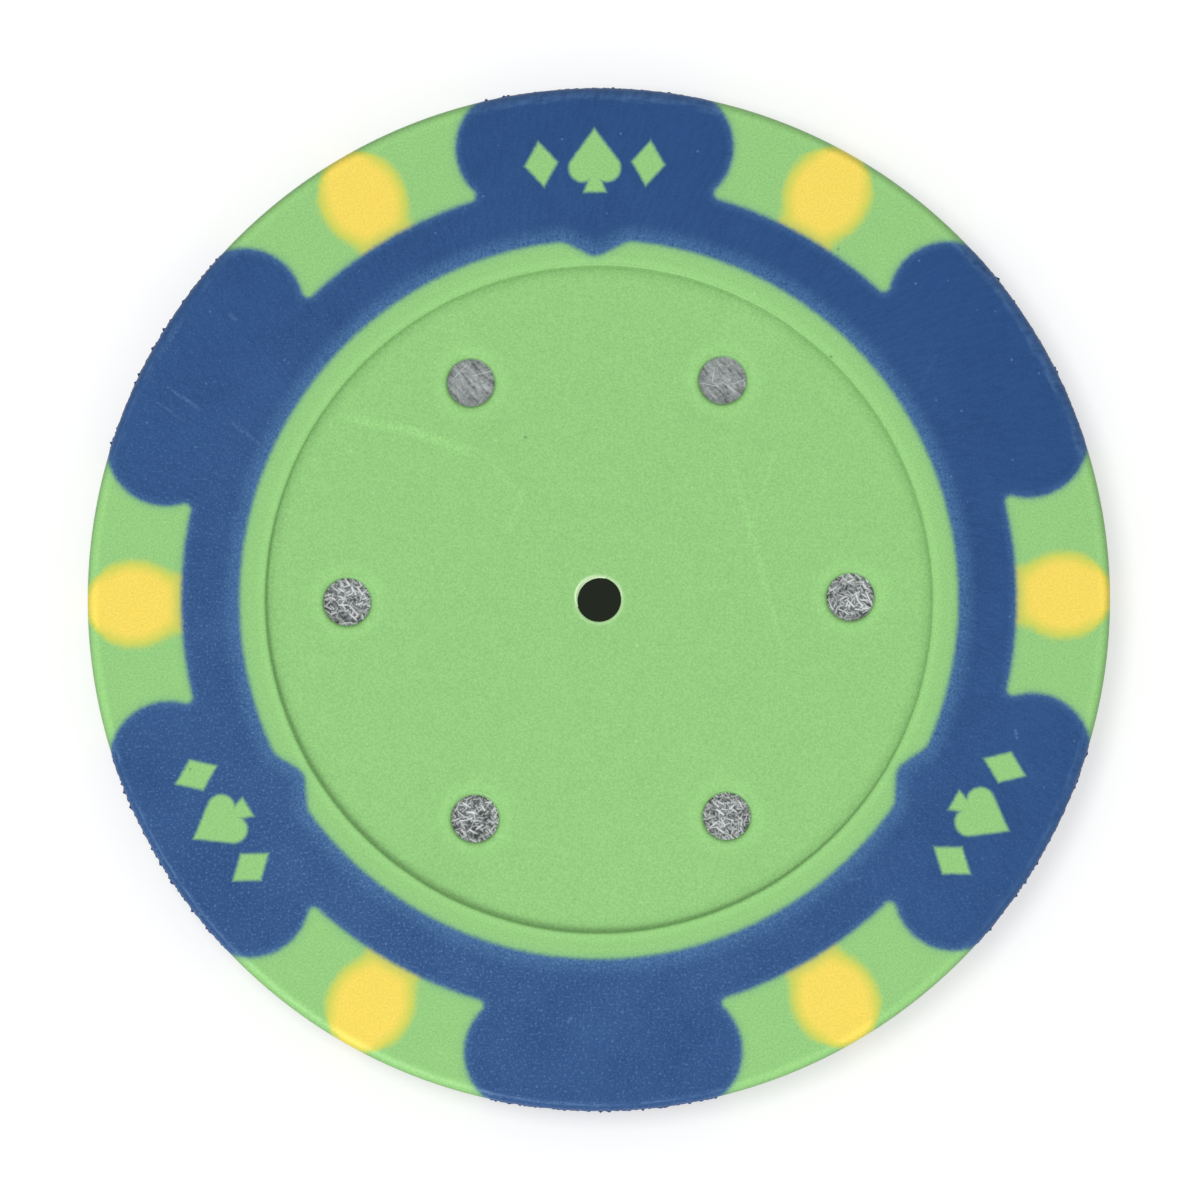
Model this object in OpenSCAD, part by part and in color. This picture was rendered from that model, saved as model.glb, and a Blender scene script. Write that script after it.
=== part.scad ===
// Round playing chip, moulded in three colours over a steel weight slug.
// The green core holds the slug and shows in the middle of each face and between the lobes.
// The blue ring is let into both faces and wraps over the rim in lobes. An oval yellow spot stands in the
// middle of each green rim field. It runs out over the rim, and its neck runs in under the ring.
// Both faces are alike.
// Millimetres. The origin is the middle of the face that the chip lies on; +Z points out of the other face.

/* [Chip] */
// Diameter of the chip
chip_d = 39; // [36:0.5:43]
// Thickness of the chip
chip_t = 3.3; // [3:0.1:4]
// Radius of the rounded rim edges
edge_r = 0.4; // [0.2:0.05:0.8]

/* [Label recess] */
// Width of the green land between the blue ring and the round label recess in each face
land_w = 1.05; // [0.4:0.05:2]
// Depth of the recess
recess_depth = 0.25; // [0.1:0.05:0.35]
// Radius of the rounded lip round the recess
recess_lip_r = 0.12; // [0.04:0.02:0.2]

/* [Weight slug] */
// Distance from the rim to the edge of the steel slug
slug_inset = 6; // [5:0.1:8]
// Thickness of the steel slug
slug_t = 1.9; // [1.4:0.1:2.1]
// Diameter of the slug's middle hole, which the green plastic fills
slug_hole_d = 3.6; // [2.8:0.1:6]
// Chamfer of the slug's outer edges
slug_chamfer = 0.15; // [0.05:0.05:0.4]

/* [Holes] */
// Diameter of the hole through the middle
bore_d = 1.7; // [1.2:0.1:2.2]
// Number of support pin holes in each face
pin_n = 6; // [3:1:8]
// Diameter of a support pin hole
pin_d = 1.8; // [1.2:0.1:2.6]
// Distance from the edge of the recess to the middle of a support pin hole
pin_inset = 3.1; // [2:0.1:5]

/* [Blue ring] */
// Width of the rim band outside the ring
rim_band = 3.6; // [3.2:0.1:4]
// Width of the ring
ring_w = 2.15; // [1.6:0.05:2.6]
// Depth that the ring is let into each face
ring_depth = 0.5; // [0.3:0.05:0.6]
// Thickness of the blue wall at the rim of a lobe
lobe_rim_wall = 0.9; // [0.6:0.05:1.4]
// Greatest width of a lobe
lobe_w = 10.55; // [9.5:0.05:11.4]
// Radius of a lobe's round sides
lobe_side_r = 2.25; // [2.2:0.05:2.7]
// Distance from the rim to the widest place of a lobe
lobe_inset = 2.25; // [2.15:0.05:2.5]
// Radius of the corner where a lobe leaves the ring
root_r = 0.28; // [0.16:0.02:0.36]

/* [Ring tips] */
// Width of a pointed tip on the ring's inner edge
tip_w = 2.5; // [1.8:0.1:3.4]
// Depth of a tip
tip_depth = 0.6; // [0.4:0.04:0.88]
// Radius of a tip's nose
tip_nose_r = 0.6; // [0.4:0.05:0.8]
// Radius of the corners where a tip leaves the ring
tip_root_r = 1.5; // [0.5:0.1:2]

/* [Rim spots] */
// Width of a yellow spot, the diameter of its middle
spot_d = 3.15; // [2.75:0.05:3.6]
// Diameter of a spot's round ends
spot_end_d = 2.8; // [2.6:0.05:3]
// Distance from the middle of a spot to the middle of each round end
spot_reach = 0.45; // [0.35:0.05:0.6]
// Distance from the rim to the middle of a spot
spot_inset = 1.75; // [1.6:0.05:1.8]
// Width of a spot's neck
neck_w = 2.1; // [1.4:0.1:2.5]
// Distance from the ring's inner edge to the end of a neck under the ring
neck_cover = 0.75; // [0.4:0.05:1.4]
// Green wall kept between the slug and the end of a neck
slug_wall = 0.6; // [0.4:0.05:1]

/* [Pips] */
// Height of the middle pip, a spade
spade_h = 2.4; // [1.8:0.1:3]
// Height of the side pips, which are diamonds
diamond_h = 1.7; // [1.2:0.1:2.4]
// Width of the side pips
diamond_w = 1.25; // [0.8:0.05:1.6]
// Distance from the rim to the middle of the pips
pip_inset = 2.75; // [2.2:0.05:3.2]
// Angle from the middle pip to a side pip
pip_step = 7; // [6:0.5:9]

/* [Hidden] */
$fn = 128;

// Cutting tools run this far past the faces and the rim
over = 1;
// Pieces of one outline run this far into each other
lap = 0.06;
// A corner's rounding runs this far into the sides that it joins, so that their arcs cross
bite = 0.003;

chip_r = chip_d / 2;
lip_r = min(recess_lip_r, recess_depth);
slug_r = chip_r - slug_inset;
slug_z = (chip_t - slug_t) / 2;
ring_or = chip_r - rim_band;
ring_ir = ring_or - ring_w;
recess_r = ring_ir - land_w;
pin_circle_r = recess_r - pin_inset;
web_r = chip_r - lobe_rim_wall;
web_t = chip_t - 2 * ring_depth;

// Lobes round the rim, with a spot between each two; every second lobe has pips and a tip
lobe_n = 6;
pitch = 360 / lobe_n;
lobe_start = pitch / 2;
pip_count = lobe_n / 2;
pip_pitch = 2 * pitch;
pip_start = lobe_start + pitch;

lobe_x = chip_r - lobe_inset;
lobe_y = lobe_w / 2 - lobe_side_r;
spot_x = chip_r - spot_inset;
neck_end_x = max(ring_ir + neck_cover, slug_r + slug_wall);
pip_x = chip_r - pip_inset;

// Point where two circles meet, to the left of the line from the first centre to the second
function circles_meet(c0, r0, c1, r1) =
    let (d = norm(c1 - c0), u = (c1 - c0) / d, a = (r0 * r0 - r1 * r1 + d * d) / (2 * d))
    c0 + a * u + sqrt(r0 * r0 - a * a) * [-u[1], u[0]];

// Point at a distance from one point towards another
function towards(p, q, distance) = p + (q - p) / norm(q - p) * distance;

// Point where a line from p touches a circle, on the right of the line from p to its centre
function touch_point(p, c, r) =
    let (d = norm(c - p), u = (c - p) / d, t = sqrt(d * d - r * r))
    p + t / d * (t * u + r * [u[1], -u[0]]);

// Point where a line from p along the unit vector u goes out of a circle round the origin
function line_leaves(p, u, r) = p + u * (sqrt((p * u) * (p * u) - p * p + r * r) - p * u);

// Half section of the whole chip: rounded rim edges, and a recess with a rounded lip in each face
module chip_section() {
    difference() {
        union() {
            square([chip_r - edge_r, chip_t]);
            translate([0, edge_r]) square([chip_r, chip_t - 2 * edge_r]);
            for (z = [edge_r, chip_t - edge_r]) translate([chip_r - edge_r, z]) circle(edge_r);
        }
        recess_section();
        translate([0, chip_t]) mirror([0, 1]) recess_section();
    }
}

// Half section of the space in the lower recess
module recess_section() {
    translate([0, -over]) square([recess_r, recess_depth + over]);
    difference() {
        translate([recess_r - lap, -over]) square([lip_r + lap, lip_r + over]);
        translate([recess_r + lip_r, lip_r]) circle(lip_r);
    }
}

module chip_form() {
    rotate_extrude() chip_section();
}

module slug_form() {
    hole_r = slug_hole_d / 2;
    translate([0, 0, slug_z]) rotate_extrude() polygon([
        [hole_r, 0], [slug_r - slug_chamfer, 0], [slug_r, slug_chamfer],
        [slug_r, slug_t - slug_chamfer], [slug_r - slug_chamfer, slug_t], [hole_r, slug_t]
    ]);
}

// Rounds the corner between a lobe's left side and the ring
module lobe_root() {
    lobe_c = [lobe_x, lobe_y];
    round_c = circles_meet([0, 0], ring_or + root_r, lobe_c, lobe_side_r + root_r);
    corner = circles_meet([0, 0], ring_or - lap, lobe_c, lobe_side_r - lap);
    difference() {
        polygon([round_c, towards([0, 0], round_c, ring_or - lap), corner,
                 towards(lobe_c, round_c, lobe_side_r - lap)]);
        translate(round_c) circle(root_r + bite);
    }
}

module lobe_outline() {
    start_x = ring_or - ring_w / 2;
    translate([start_x, -lobe_y]) square([chip_r + over - start_x, 2 * lobe_y]);
    for (side = [0, 1]) mirror([0, side]) {
        translate([lobe_x, lobe_y]) circle(lobe_side_r);
        lobe_root();
    }
}

// Rounds the corner where a tip's flank, from the nose to the base along the unit vector u, meets the ring
module tip_root(base, u) {
    outward = [-u[1], u[0]];
    round_c = line_leaves(base + tip_root_r * outward, u, ring_ir - tip_root_r);
    difference() {
        polygon([round_c, round_c - (tip_root_r + lap) * outward, base + lap * (u - outward),
                 towards([0, 0], round_c, ring_ir + lap)]);
        translate(round_c) circle(tip_root_r + bite);
    }
}

module tip_outline() {
    base_y = tip_w / 2;
    base = [sqrt(ring_ir * ring_ir - base_y * base_y), base_y];
    nose_c = [ring_ir - tip_depth + tip_nose_r, 0];
    flank = touch_point(base, nose_c, tip_nose_r);
    for (side = [0, 1]) mirror([0, side]) {
        translate(nose_c) circle(tip_nose_r);
        polygon([flank, [nose_c[0], -lap], [ring_ir + ring_w / 2, -lap], [ring_ir + ring_w / 2, base_y],
                 base]);
        tip_root(base, (base - flank) / norm(base - flank));
    }
}

// Spade pip, point outwards along +X
module spade_outline() {
    leaf_r = 0.22 * spade_h;
    leaf_c = [-0.12 * spade_h, 0.19 * spade_h];
    point = [0.5 * spade_h, 0];
    foot = [-0.5 * spade_h, 0.17 * spade_h];
    for (side = [0, 1]) mirror([0, side]) {
        translate(leaf_c) circle(leaf_r);
        polygon([point, touch_point(point, leaf_c, leaf_r), leaf_c, [leaf_c[0], 0]]);
        polygon([[0, -lap], foot, [foot[0], -lap]]);
    }
}

module diamond_outline() {
    polygon([[diamond_h / 2, 0], [0, diamond_w / 2], [-diamond_h / 2, 0], [0, -diamond_w / 2]]);
}

module pips_outline() {
    for (i = [0:pip_count - 1]) rotate(pip_start + i * pip_pitch) {
        translate([pip_x, 0]) spade_outline();
        for (side = [-1, 1]) rotate(side * pip_step) translate([pip_x, 0]) diamond_outline();
    }
}

module ring_outline() {
    difference() {
        circle(ring_or);
        circle(ring_ir);
    }
    for (i = [0:lobe_n - 1]) rotate(lobe_start + i * pitch) lobe_outline();
    for (i = [0:pip_count - 1]) rotate(pip_start + i * pip_pitch) tip_outline();
}

// All the space that is blue, run past the faces and the rim, with the web left out of the middle
module ring_zone() {
    difference() {
        translate([0, 0, -over]) linear_extrude(chip_t + 2 * over) difference() {
            ring_outline();
            pips_outline();
        }
        translate([0, 0, ring_depth]) cylinder(r = web_r, h = web_t);
    }
}

// Oval of a spot, with its round ends along X
module spot_outline() {
    circle(d = spot_d);
    for (side = [-1, 1]) translate([side * spot_reach, 0]) circle(d = spot_end_d);
}

// One spot with its neck, run past the faces
module spot_zone(i) {
    rotate(i * pitch) translate([0, 0, -over]) linear_extrude(chip_t + 2 * over) {
        translate([spot_x, 0]) spot_outline();
        translate([neck_end_x, -neck_w / 2]) square([spot_x - neck_end_x, neck_w]);
    }
}

module through_hole(d) {
    translate([0, 0, -over]) cylinder(d = d, h = chip_t + 2 * over);
}

module weight_slug() {
    color("silver") slug_form();
}

module core_body() {
    color([0.59, 0.81, 0.51]) difference() {
        chip_form();
        ring_zone();
        for (i = [0:lobe_n - 1]) spot_zone(i);
        slug_form();
        for (i = [0:pin_n - 1]) rotate(i * 360 / pin_n) translate([pin_circle_r, 0]) through_hole(pin_d);
        through_hole(bore_d);
    }
}

module edge_ring() {
    color([0.2, 0.34, 0.53]) intersection() {
        chip_form();
        ring_zone();
    }
}

module rim_spot(i) {
    color([0.98, 0.87, 0.41]) difference() {
        intersection() {
            chip_form();
            spot_zone(i);
        }
        ring_zone();
    }
}

weight_slug();
core_body();
edge_ring();
for (i = [0:lobe_n - 1])
    rim_spot(i);
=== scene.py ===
"""Looks of a round playing chip, moulded in three colours over a steel weight slug.

The chip is modelled as one blank and parted into its green core, its blue edge moulding and its six yellow
rim plugs with the same cutting forms, so that the colours meet without a gap. Pieces are modelled in
millimetres and brought to metres when they are finished.
"""

import logging
import math
import random
from collections.abc import Callable, Mapping, Sequence
from dataclasses import dataclass
from enum import Enum
from functools import cached_property
from typing import Any, Union

import bmesh
import bpy
from mathutils import Matrix, Vector


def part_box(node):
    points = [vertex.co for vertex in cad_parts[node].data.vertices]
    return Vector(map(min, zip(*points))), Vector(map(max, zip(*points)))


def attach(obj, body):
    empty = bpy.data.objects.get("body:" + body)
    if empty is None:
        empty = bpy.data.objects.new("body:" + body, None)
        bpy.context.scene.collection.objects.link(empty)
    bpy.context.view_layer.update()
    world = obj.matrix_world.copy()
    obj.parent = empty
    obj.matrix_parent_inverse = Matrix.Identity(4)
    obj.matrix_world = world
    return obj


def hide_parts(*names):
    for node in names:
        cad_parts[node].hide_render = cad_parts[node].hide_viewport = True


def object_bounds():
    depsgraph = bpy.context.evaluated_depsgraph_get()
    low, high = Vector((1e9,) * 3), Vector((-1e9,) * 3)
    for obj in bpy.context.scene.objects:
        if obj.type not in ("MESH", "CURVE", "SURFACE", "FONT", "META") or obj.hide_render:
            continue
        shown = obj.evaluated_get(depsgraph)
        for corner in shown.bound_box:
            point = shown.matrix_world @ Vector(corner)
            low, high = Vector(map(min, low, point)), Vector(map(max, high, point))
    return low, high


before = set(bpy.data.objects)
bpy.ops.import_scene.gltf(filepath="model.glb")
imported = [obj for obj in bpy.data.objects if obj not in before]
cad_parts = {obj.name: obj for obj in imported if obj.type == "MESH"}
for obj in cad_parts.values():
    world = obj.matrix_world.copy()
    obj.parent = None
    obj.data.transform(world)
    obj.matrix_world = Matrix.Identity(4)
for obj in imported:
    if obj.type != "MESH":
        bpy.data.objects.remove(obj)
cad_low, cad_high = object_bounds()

Point = tuple[float, float]
Span = tuple[float, float]
Colour = tuple[float, float, float, float]

MM = 0.001
BODY = "root"
SAME_POINT = 1e-5
SAME_HEIGHT = 1e-4
SAME_RADIUS = 0.01
ON_AXIS = 1e-3
LEVEL_NORMAL = 0.99
LEVEL_EDGE = 1e-3
FLAT_NORMAL = 0.9999
WELD = 2e-5
SMOOTH_ANGLE = math.radians(30)
log = logging.getLogger("chip")


class Slot(Enum):
    """The record's material slots."""

    STEEL = "slug_steel"
    GREEN = "green_plastic"
    BLUE = "blue_plastic"
    YELLOW = "yellow_plastic"


class Cut(Enum):
    """How a cutting form works on a workpiece."""

    AWAY = "DIFFERENCE"
    COMMON = "INTERSECT"


class Pick(Enum):
    """What a selection is made of."""

    FACES = "FACE"
    EDGES = "EDGE"


def arc(centre: Point, radius: float, start: float, end: float, step: float) -> list[Point]:
    """Points along an arc, both ends included.

    Args:
        centre: Middle of the arc.
        radius: Radius of the arc.
        start: Angle of the first point, in radians.
        end: Angle of the last point, in radians; a smaller one than start runs clockwise.
        step: Longest distance between two points.

    Returns:
        The points, from start to end.
    """
    count = max(2, math.ceil(abs(end - start) * radius / step))
    turns = [start + (end - start) * i / count for i in range(count + 1)]
    return [(centre[0] + radius * math.cos(a), centre[1] + radius * math.sin(a)) for a in turns]


def turned(points: Sequence[Point], angle: float) -> list[Point]:
    """Turns points about the middle of the chip.

    Args:
        points: The points to turn.
        angle: Angle in radians, anticlockwise.

    Returns:
        The turned points, in the same order.
    """
    c, s = math.cos(angle), math.sin(angle)
    return [(c * x - s * y, s * x + c * y) for x, y in points]


def both_sides(upper: Sequence[Point]) -> list[Point]:
    """Adds the mirror image of an outline's upper half in front of it.

    Args:
        upper: Points of the half above the X axis, from the axis or from its first corner onwards.

    Returns:
        The lower half, reversed, and then the upper half.
    """
    return [(x, -y) for x, y in reversed(upper)] + list(upper)


def without_repeats(points: Sequence[Point], nearest: float = SAME_POINT) -> list[Point]:
    """Drops each point of a closed outline that lies on the one before it.

    Args:
        points: The outline.
        nearest: Distance under which two points are the same.

    Returns:
        The outline with single points.
    """
    kept: list[Point] = []
    for point in points:
        if not kept or math.dist(point, kept[-1]) > nearest:
            kept.append(point)
    if math.dist(kept[0], kept[-1]) <= nearest:
        kept.pop()
    return kept


@dataclass(frozen=True)
class ChipSizes:
    """Sizes of the whole chip and of the borders between its colours, in millimetres and radians.

    The place and radius of a spade's leaf and the half width of its foot are shares of the spade's height.
    """

    radius: float
    thickness: float
    slug_radius: float
    slug_low: float
    slug_high: float
    edge_r: float = 0.4
    recess_depth: float = 0.25
    recess_lip_r: float = 0.12
    recess_foot_r: float = 0.05
    land_w: float = 1.05
    bore_r: float = 0.85
    bore_lip_r: float = 0.07
    pin_count: int = 6
    pin_r: float = 0.9
    pin_inset: float = 3.1
    pin_taper: float = 0.03
    pin_lip_r: float = 0.13
    rim_band: float = 3.6
    ring_w: float = 2.15
    ring_depth: float = 0.5
    lobe_count: int = 6
    lobe_rim_wall: float = 0.9
    lobe_w: float = 10.55
    lobe_side_r: float = 2.25
    lobe_inset: float = 2.25
    root_r: float = 0.28
    tip_w: float = 2.5
    tip_depth: float = 0.6
    tip_nose_r: float = 0.6
    tip_root_r: float = 1.5
    spot_r: float = 1.575
    spot_end_r: float = 1.4
    spot_reach: float = 0.45
    spot_inset: float = 1.75
    neck_w: float = 2.1
    neck_cover: float = 0.75
    spade_h: float = 2.4
    spade_leaf_x: float = -0.12
    spade_leaf_y: float = 0.19
    spade_leaf_r: float = 0.22
    spade_foot_y: float = 0.17
    diamond_h: float = 1.7
    diamond_w: float = 1.25
    pip_inset: float = 2.75
    pip_step: float = math.radians(7)

    @classmethod
    def from_frame(cls) -> "ChipSizes":
        """Takes the chip's and the slug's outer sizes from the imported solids.

        Returns:
            The sizes, with the driving dimensions of the solids.
        """
        slug_low, slug_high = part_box("weight_slug")
        return cls(
            radius=(cad_high.x - cad_low.x) / 2 / MM,
            thickness=(cad_high.z - cad_low.z) / MM,
            slug_radius=slug_high.x / MM,
            slug_low=slug_low.z / MM,
            slug_high=slug_high.z / MM,
        )

    @property
    def ring_or(self) -> float:
        """Outer radius of the blue ring."""
        return self.radius - self.rim_band

    @property
    def ring_ir(self) -> float:
        """Inner radius of the blue ring."""
        return self.ring_or - self.ring_w

    @property
    def recess_r(self) -> float:
        """Radius of the label recess."""
        return self.ring_ir - self.land_w

    @property
    def pitch(self) -> float:
        """Angle from one lobe to the next."""
        return 2 * math.pi / self.lobe_count

    @property
    def pip_pitch(self) -> float:
        """Angle from one lobe with pips to the next."""
        return 2 * self.pitch

    @property
    def pip_start(self) -> float:
        """Angle of the first lobe with pips."""
        return 1.5 * self.pitch

    @property
    def lobe_centre(self) -> Point:
        """Middle of a lobe's upper round side, with the lobe along +X."""
        return self.radius - self.lobe_inset, self.lobe_w / 2 - self.lobe_side_r

    @property
    def lobe_root(self) -> Vector:
        """Middle of the rounding between a lobe's upper side and the ring, with the lobe along +X."""
        lobe = Vector(self.lobe_centre)
        reach = lobe.length
        ring, side = self.ring_or + self.root_r, self.lobe_side_r + self.root_r
        along = (ring**2 - side**2 + reach**2) / (2 * reach)
        towards = lobe / reach
        return along * towards + math.sqrt(ring**2 - along**2) * Vector((-towards.y, towards.x))

    @property
    def spot_x(self) -> float:
        """Distance of a spot's middle from the middle of the chip."""
        return self.radius - self.spot_inset

    @property
    def neck_x(self) -> float:
        """Distance of a neck's hidden end from the middle of the chip."""
        return self.ring_ir + self.neck_cover

    @property
    def pip_x(self) -> float:
        """Distance of the pips from the middle of the chip."""
        return self.radius - self.pip_inset

    @property
    def nose_centre(self) -> Point:
        """Middle of a ring tip's round nose, with the tip along +X."""
        return self.ring_ir - self.tip_depth + self.tip_nose_r, 0.0

    @property
    def tip_base(self) -> Point:
        """Point where a tip's upper flank would meet the ring."""
        half = self.tip_w / 2
        return math.sqrt(self.ring_ir**2 - half**2), half

    @property
    def tip_flank(self) -> tuple[Vector, Vector]:
        """Point where a tip's upper flank leaves the nose, and the flank's direction."""
        base, nose = Vector(self.tip_base), Vector(self.nose_centre)
        reach = (nose - base).length
        along = (nose - base) / reach
        tangent = math.sqrt(reach**2 - self.tip_nose_r**2)
        touch = base + tangent / reach * (tangent * along + self.tip_nose_r * Vector((along.y, -along.x)))
        return touch, (base - touch).normalized()

    @property
    def spade_leaf(self) -> tuple[Point, float]:
        """Middle and radius of a spade's upper leaf, measured from the middle of the pip."""
        tall = self.spade_h
        return (self.spade_leaf_x * tall, self.spade_leaf_y * tall), self.spade_leaf_r * tall

    @property
    def spade_foot(self) -> Point:
        """Upper corner of a spade's foot, measured from the middle of the pip."""
        return -self.spade_h / 2, self.spade_foot_y * self.spade_h

    @property
    def spade_shoulder(self) -> Vector:
        """Point where the line from a spade's point touches the upper leaf."""
        (x, y), radius = self.spade_leaf
        point, leaf = Vector((self.spade_h / 2, 0)), Vector((x, y))
        reach = (leaf - point).length
        along = (leaf - point) / reach
        tangent = math.sqrt(reach**2 - radius**2)
        return point + tangent / reach * (tangent * along + radius * Vector((along.y, -along.x)))


class Workpiece:
    """A mesh on the bench, in millimetres, shaped by hand tools."""

    def __init__(self, body: bpy.types.Object, name: str) -> None:
        """Takes a mesh onto the bench.

        Args:
            body: The mesh object.
            name: Its name.
        """
        self.body = body
        body.name = name
        body.data.name = name

    @classmethod
    def cylinder(cls, name: str, radius: float, low: float, high: float, sides: int) -> "Workpiece":
        """Starts a piece from an upright cylinder.

        Args:
            name: Name of the piece.
            radius: Radius of the cylinder.
            low: Height of its lower end.
            high: Height of its upper end.
            sides: Number of its sides.

        Returns:
            The piece.
        """
        bpy.ops.object.select_all(action="DESELECT")
        bpy.ops.mesh.primitive_cylinder_add(
            vertices=sides, radius=radius, depth=high - low, location=(0, 0, (low + high) / 2)
        )
        bpy.ops.object.transform_apply(location=True, rotation=True, scale=True)
        return cls(bpy.context.object, name)

    @classmethod
    def prism(cls, name: str, outline: Sequence[Point], low: float, high: float) -> "Workpiece":
        """Starts a piece from an upright prism: a filled circle drawn out to an outline and extruded.

        Args:
            name: Name of the piece.
            outline: The closed outline, anticlockwise.
            low: Height of the lower end.
            high: Height of the upper end.

        Returns:
            The piece.
        """
        points = without_repeats(outline)
        bpy.ops.object.select_all(action="DESELECT")
        bpy.ops.mesh.primitive_circle_add(vertices=len(points), radius=1, fill_type="NGON")
        piece = cls(bpy.context.object, name)
        for vertex, (x, y) in zip(piece.body.data.vertices, points):
            vertex.co = (x, y, low)
        piece.pick(Pick.FACES, lambda middle, normal: True)
        piece.extrude((0, 0, high - low))
        bpy.ops.mesh.select_all(action="SELECT")
        bpy.ops.mesh.normals_make_consistent(inside=False)
        piece.leave()
        return piece

    def hold(self) -> None:
        """Makes this piece the only selected one and the active one."""
        if bpy.context.object and bpy.context.object.mode != "OBJECT":
            bpy.ops.object.mode_set(mode="OBJECT")
        bpy.ops.object.select_all(action="DESELECT")
        self.body.select_set(True)
        bpy.context.view_layer.objects.active = self.body

    def pick(self, kind: Pick, test: Callable[[Vector, Vector], bool]) -> None:
        """Goes into edit mode and selects by place.

        Args:
            kind: Whether faces or edges are selected.
            test: Takes the middle and the normal of a face, or the middle and the direction of an edge.
        """
        if bpy.context.object is not self.body or self.body.mode != "EDIT":
            self.hold()
            bpy.ops.object.mode_set(mode="EDIT")
        bpy.ops.mesh.select_mode(type=kind.value)
        bpy.ops.mesh.select_all(action="DESELECT")
        mesh = bmesh.from_edit_mesh(self.body.data)
        if kind is Pick.FACES:
            for face in mesh.faces:
                face.select_set(test(face.calc_center_median(), face.normal))
        else:
            for edge in mesh.edges:
                first, last = (corner.co for corner in edge.verts)
                edge.select_set(test((first + last) / 2, (last - first).normalized()))
        bmesh.update_edit_mesh(self.body.data)

    def pick_caps(self, *heights: float) -> None:
        """Selects the level faces round the axis at given heights."""
        self.pick(
            Pick.FACES,
            lambda middle, normal: abs(normal.z) > LEVEL_NORMAL
            and math.hypot(middle.x, middle.y) < ON_AXIS
            and any(abs(middle.z - height) < SAME_HEIGHT for height in heights),
        )

    def pick_rings(self, radius: float, *heights: float) -> None:
        """Selects the edges of level circles round the axis.

        Args:
            radius: Radius of the circles.
            heights: Their heights.
        """
        self.pick(
            Pick.EDGES,
            lambda middle, along: abs(along.z) < LEVEL_EDGE
            and abs(math.hypot(middle.x, middle.y) - radius) < SAME_RADIUS
            and any(abs(middle.z - height) < SAME_HEIGHT for height in heights),
        )

    def leave(self) -> None:
        """Goes back to object mode."""
        bpy.ops.object.mode_set(mode="OBJECT")

    @staticmethod
    def extrude(move: Sequence[float], grow: float = 1.0) -> None:
        """Extrudes the selected faces.

        Args:
            move: How far they move.
            grow: How much wider they become about the axis.
        """
        bpy.ops.mesh.extrude_region_move(TRANSFORM_OT_translate={"value": move})
        if grow != 1.0:
            bpy.ops.transform.resize(value=(grow, grow, 1), center_override=(0, 0, 0))

    @staticmethod
    def inset(width: float) -> None:
        """Insets each selected face by a width."""
        bpy.ops.mesh.inset(thickness=width, use_individual=True)

    @staticmethod
    def bevel(width: float, segments: int) -> None:
        """Rounds the selected edges.

        Args:
            width: Distance from the edge to the start of the rounding.
            segments: Number of faces across it; one makes a chamfer.
        """
        bpy.ops.mesh.bevel(offset=width, segments=segments, profile=0.5, affect="EDGES", clamp_overlap=True)

    def copy(self, name: str, angle: float = 0.0, shift: float = 0.0) -> "Workpiece":
        """Copies the piece with its own mesh.

        Args:
            name: Name of the copy.
            angle: Turn about the axis of the chip, after the shift.
            shift: Distance that the copy is moved along X first.

        Returns:
            The copy.
        """
        if self.body.mode != "OBJECT":
            self.leave()
        twin = self.body.copy()
        twin.data = self.body.data.copy()
        bpy.context.collection.objects.link(twin)
        twin.data.transform(Matrix.Rotation(angle, 4, "Z") @ Matrix.Translation((shift, 0, 0)))
        return Workpiece(twin, name)

    def joined(self, *others: "Workpiece") -> "Workpiece":
        """Joins other pieces into this one's mesh.

        Args:
            others: The pieces, which are used up.

        Returns:
            This piece.
        """
        self.hold()
        for other in others:
            other.body.select_set(True)
        bpy.ops.object.join()
        return self

    def cut(self, tool: "Workpiece", how: Cut = Cut.AWAY) -> None:
        """Cuts the piece with another one.

        Args:
            tool: The cutting form, which is kept.
            how: Whether the tool is taken away or the common part is kept.
        """
        self.hold()
        bpy.ops.object.modifier_add(type="BOOLEAN")
        modifier = self.body.modifiers[-1]
        modifier.object = tool.body
        modifier.operation = how.value
        modifier.solver = "MANIFOLD"
        bpy.ops.object.modifier_apply(modifier=modifier.name)

    def discard(self) -> None:
        """Takes a cutting form off the bench."""
        mesh = self.body.data
        bpy.data.objects.remove(self.body)
        bpy.data.meshes.remove(mesh)

    def finish(self, material: bpy.types.Material, slot: Slot, *nodes: str) -> bpy.types.Object:
        """Merges doubles, brings the piece to metres, smooths and dresses it, and sets it on the chip.

        Args:
            material: Its finish.
            slot: The record's slot that the finish belongs to; not used.
            nodes: Names of the solids that it stands for.

        Returns:
            The finished object.
        """
        self.hold()
        bpy.ops.object.mode_set(mode="EDIT")
        bpy.ops.mesh.select_all(action="SELECT")
        bpy.ops.mesh.remove_doubles(threshold=WELD)
        self.leave()
        self.body.scale = (MM, MM, MM)
        bpy.ops.object.transform_apply(location=True, rotation=True, scale=True)
        bpy.ops.object.shade_smooth_by_angle(angle=SMOOTH_ANGLE)
        self.pick(Pick.FACES, lambda middle, normal: abs(normal.z) > FLAT_NORMAL)
        bpy.ops.mesh.mod_weighted_strength(set=True, face_strength="STRONG")
        self.leave()
        bpy.ops.object.modifier_add(type="WEIGHTED_NORMAL")
        modifier = self.body.modifiers[-1]
        modifier.keep_sharp = True
        modifier.use_face_influence = True
        bpy.ops.object.modifier_apply(modifier=modifier.name)
        self.body.data.materials.clear()
        self.body.data.materials.append(material)
        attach(self.body, BODY)
        if nodes:
            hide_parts(*nodes)
        log.info("%s: %d faces", self.body.name, len(self.body.data.polygons))
        return self.body


Value = Union["Wire", float]


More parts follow.
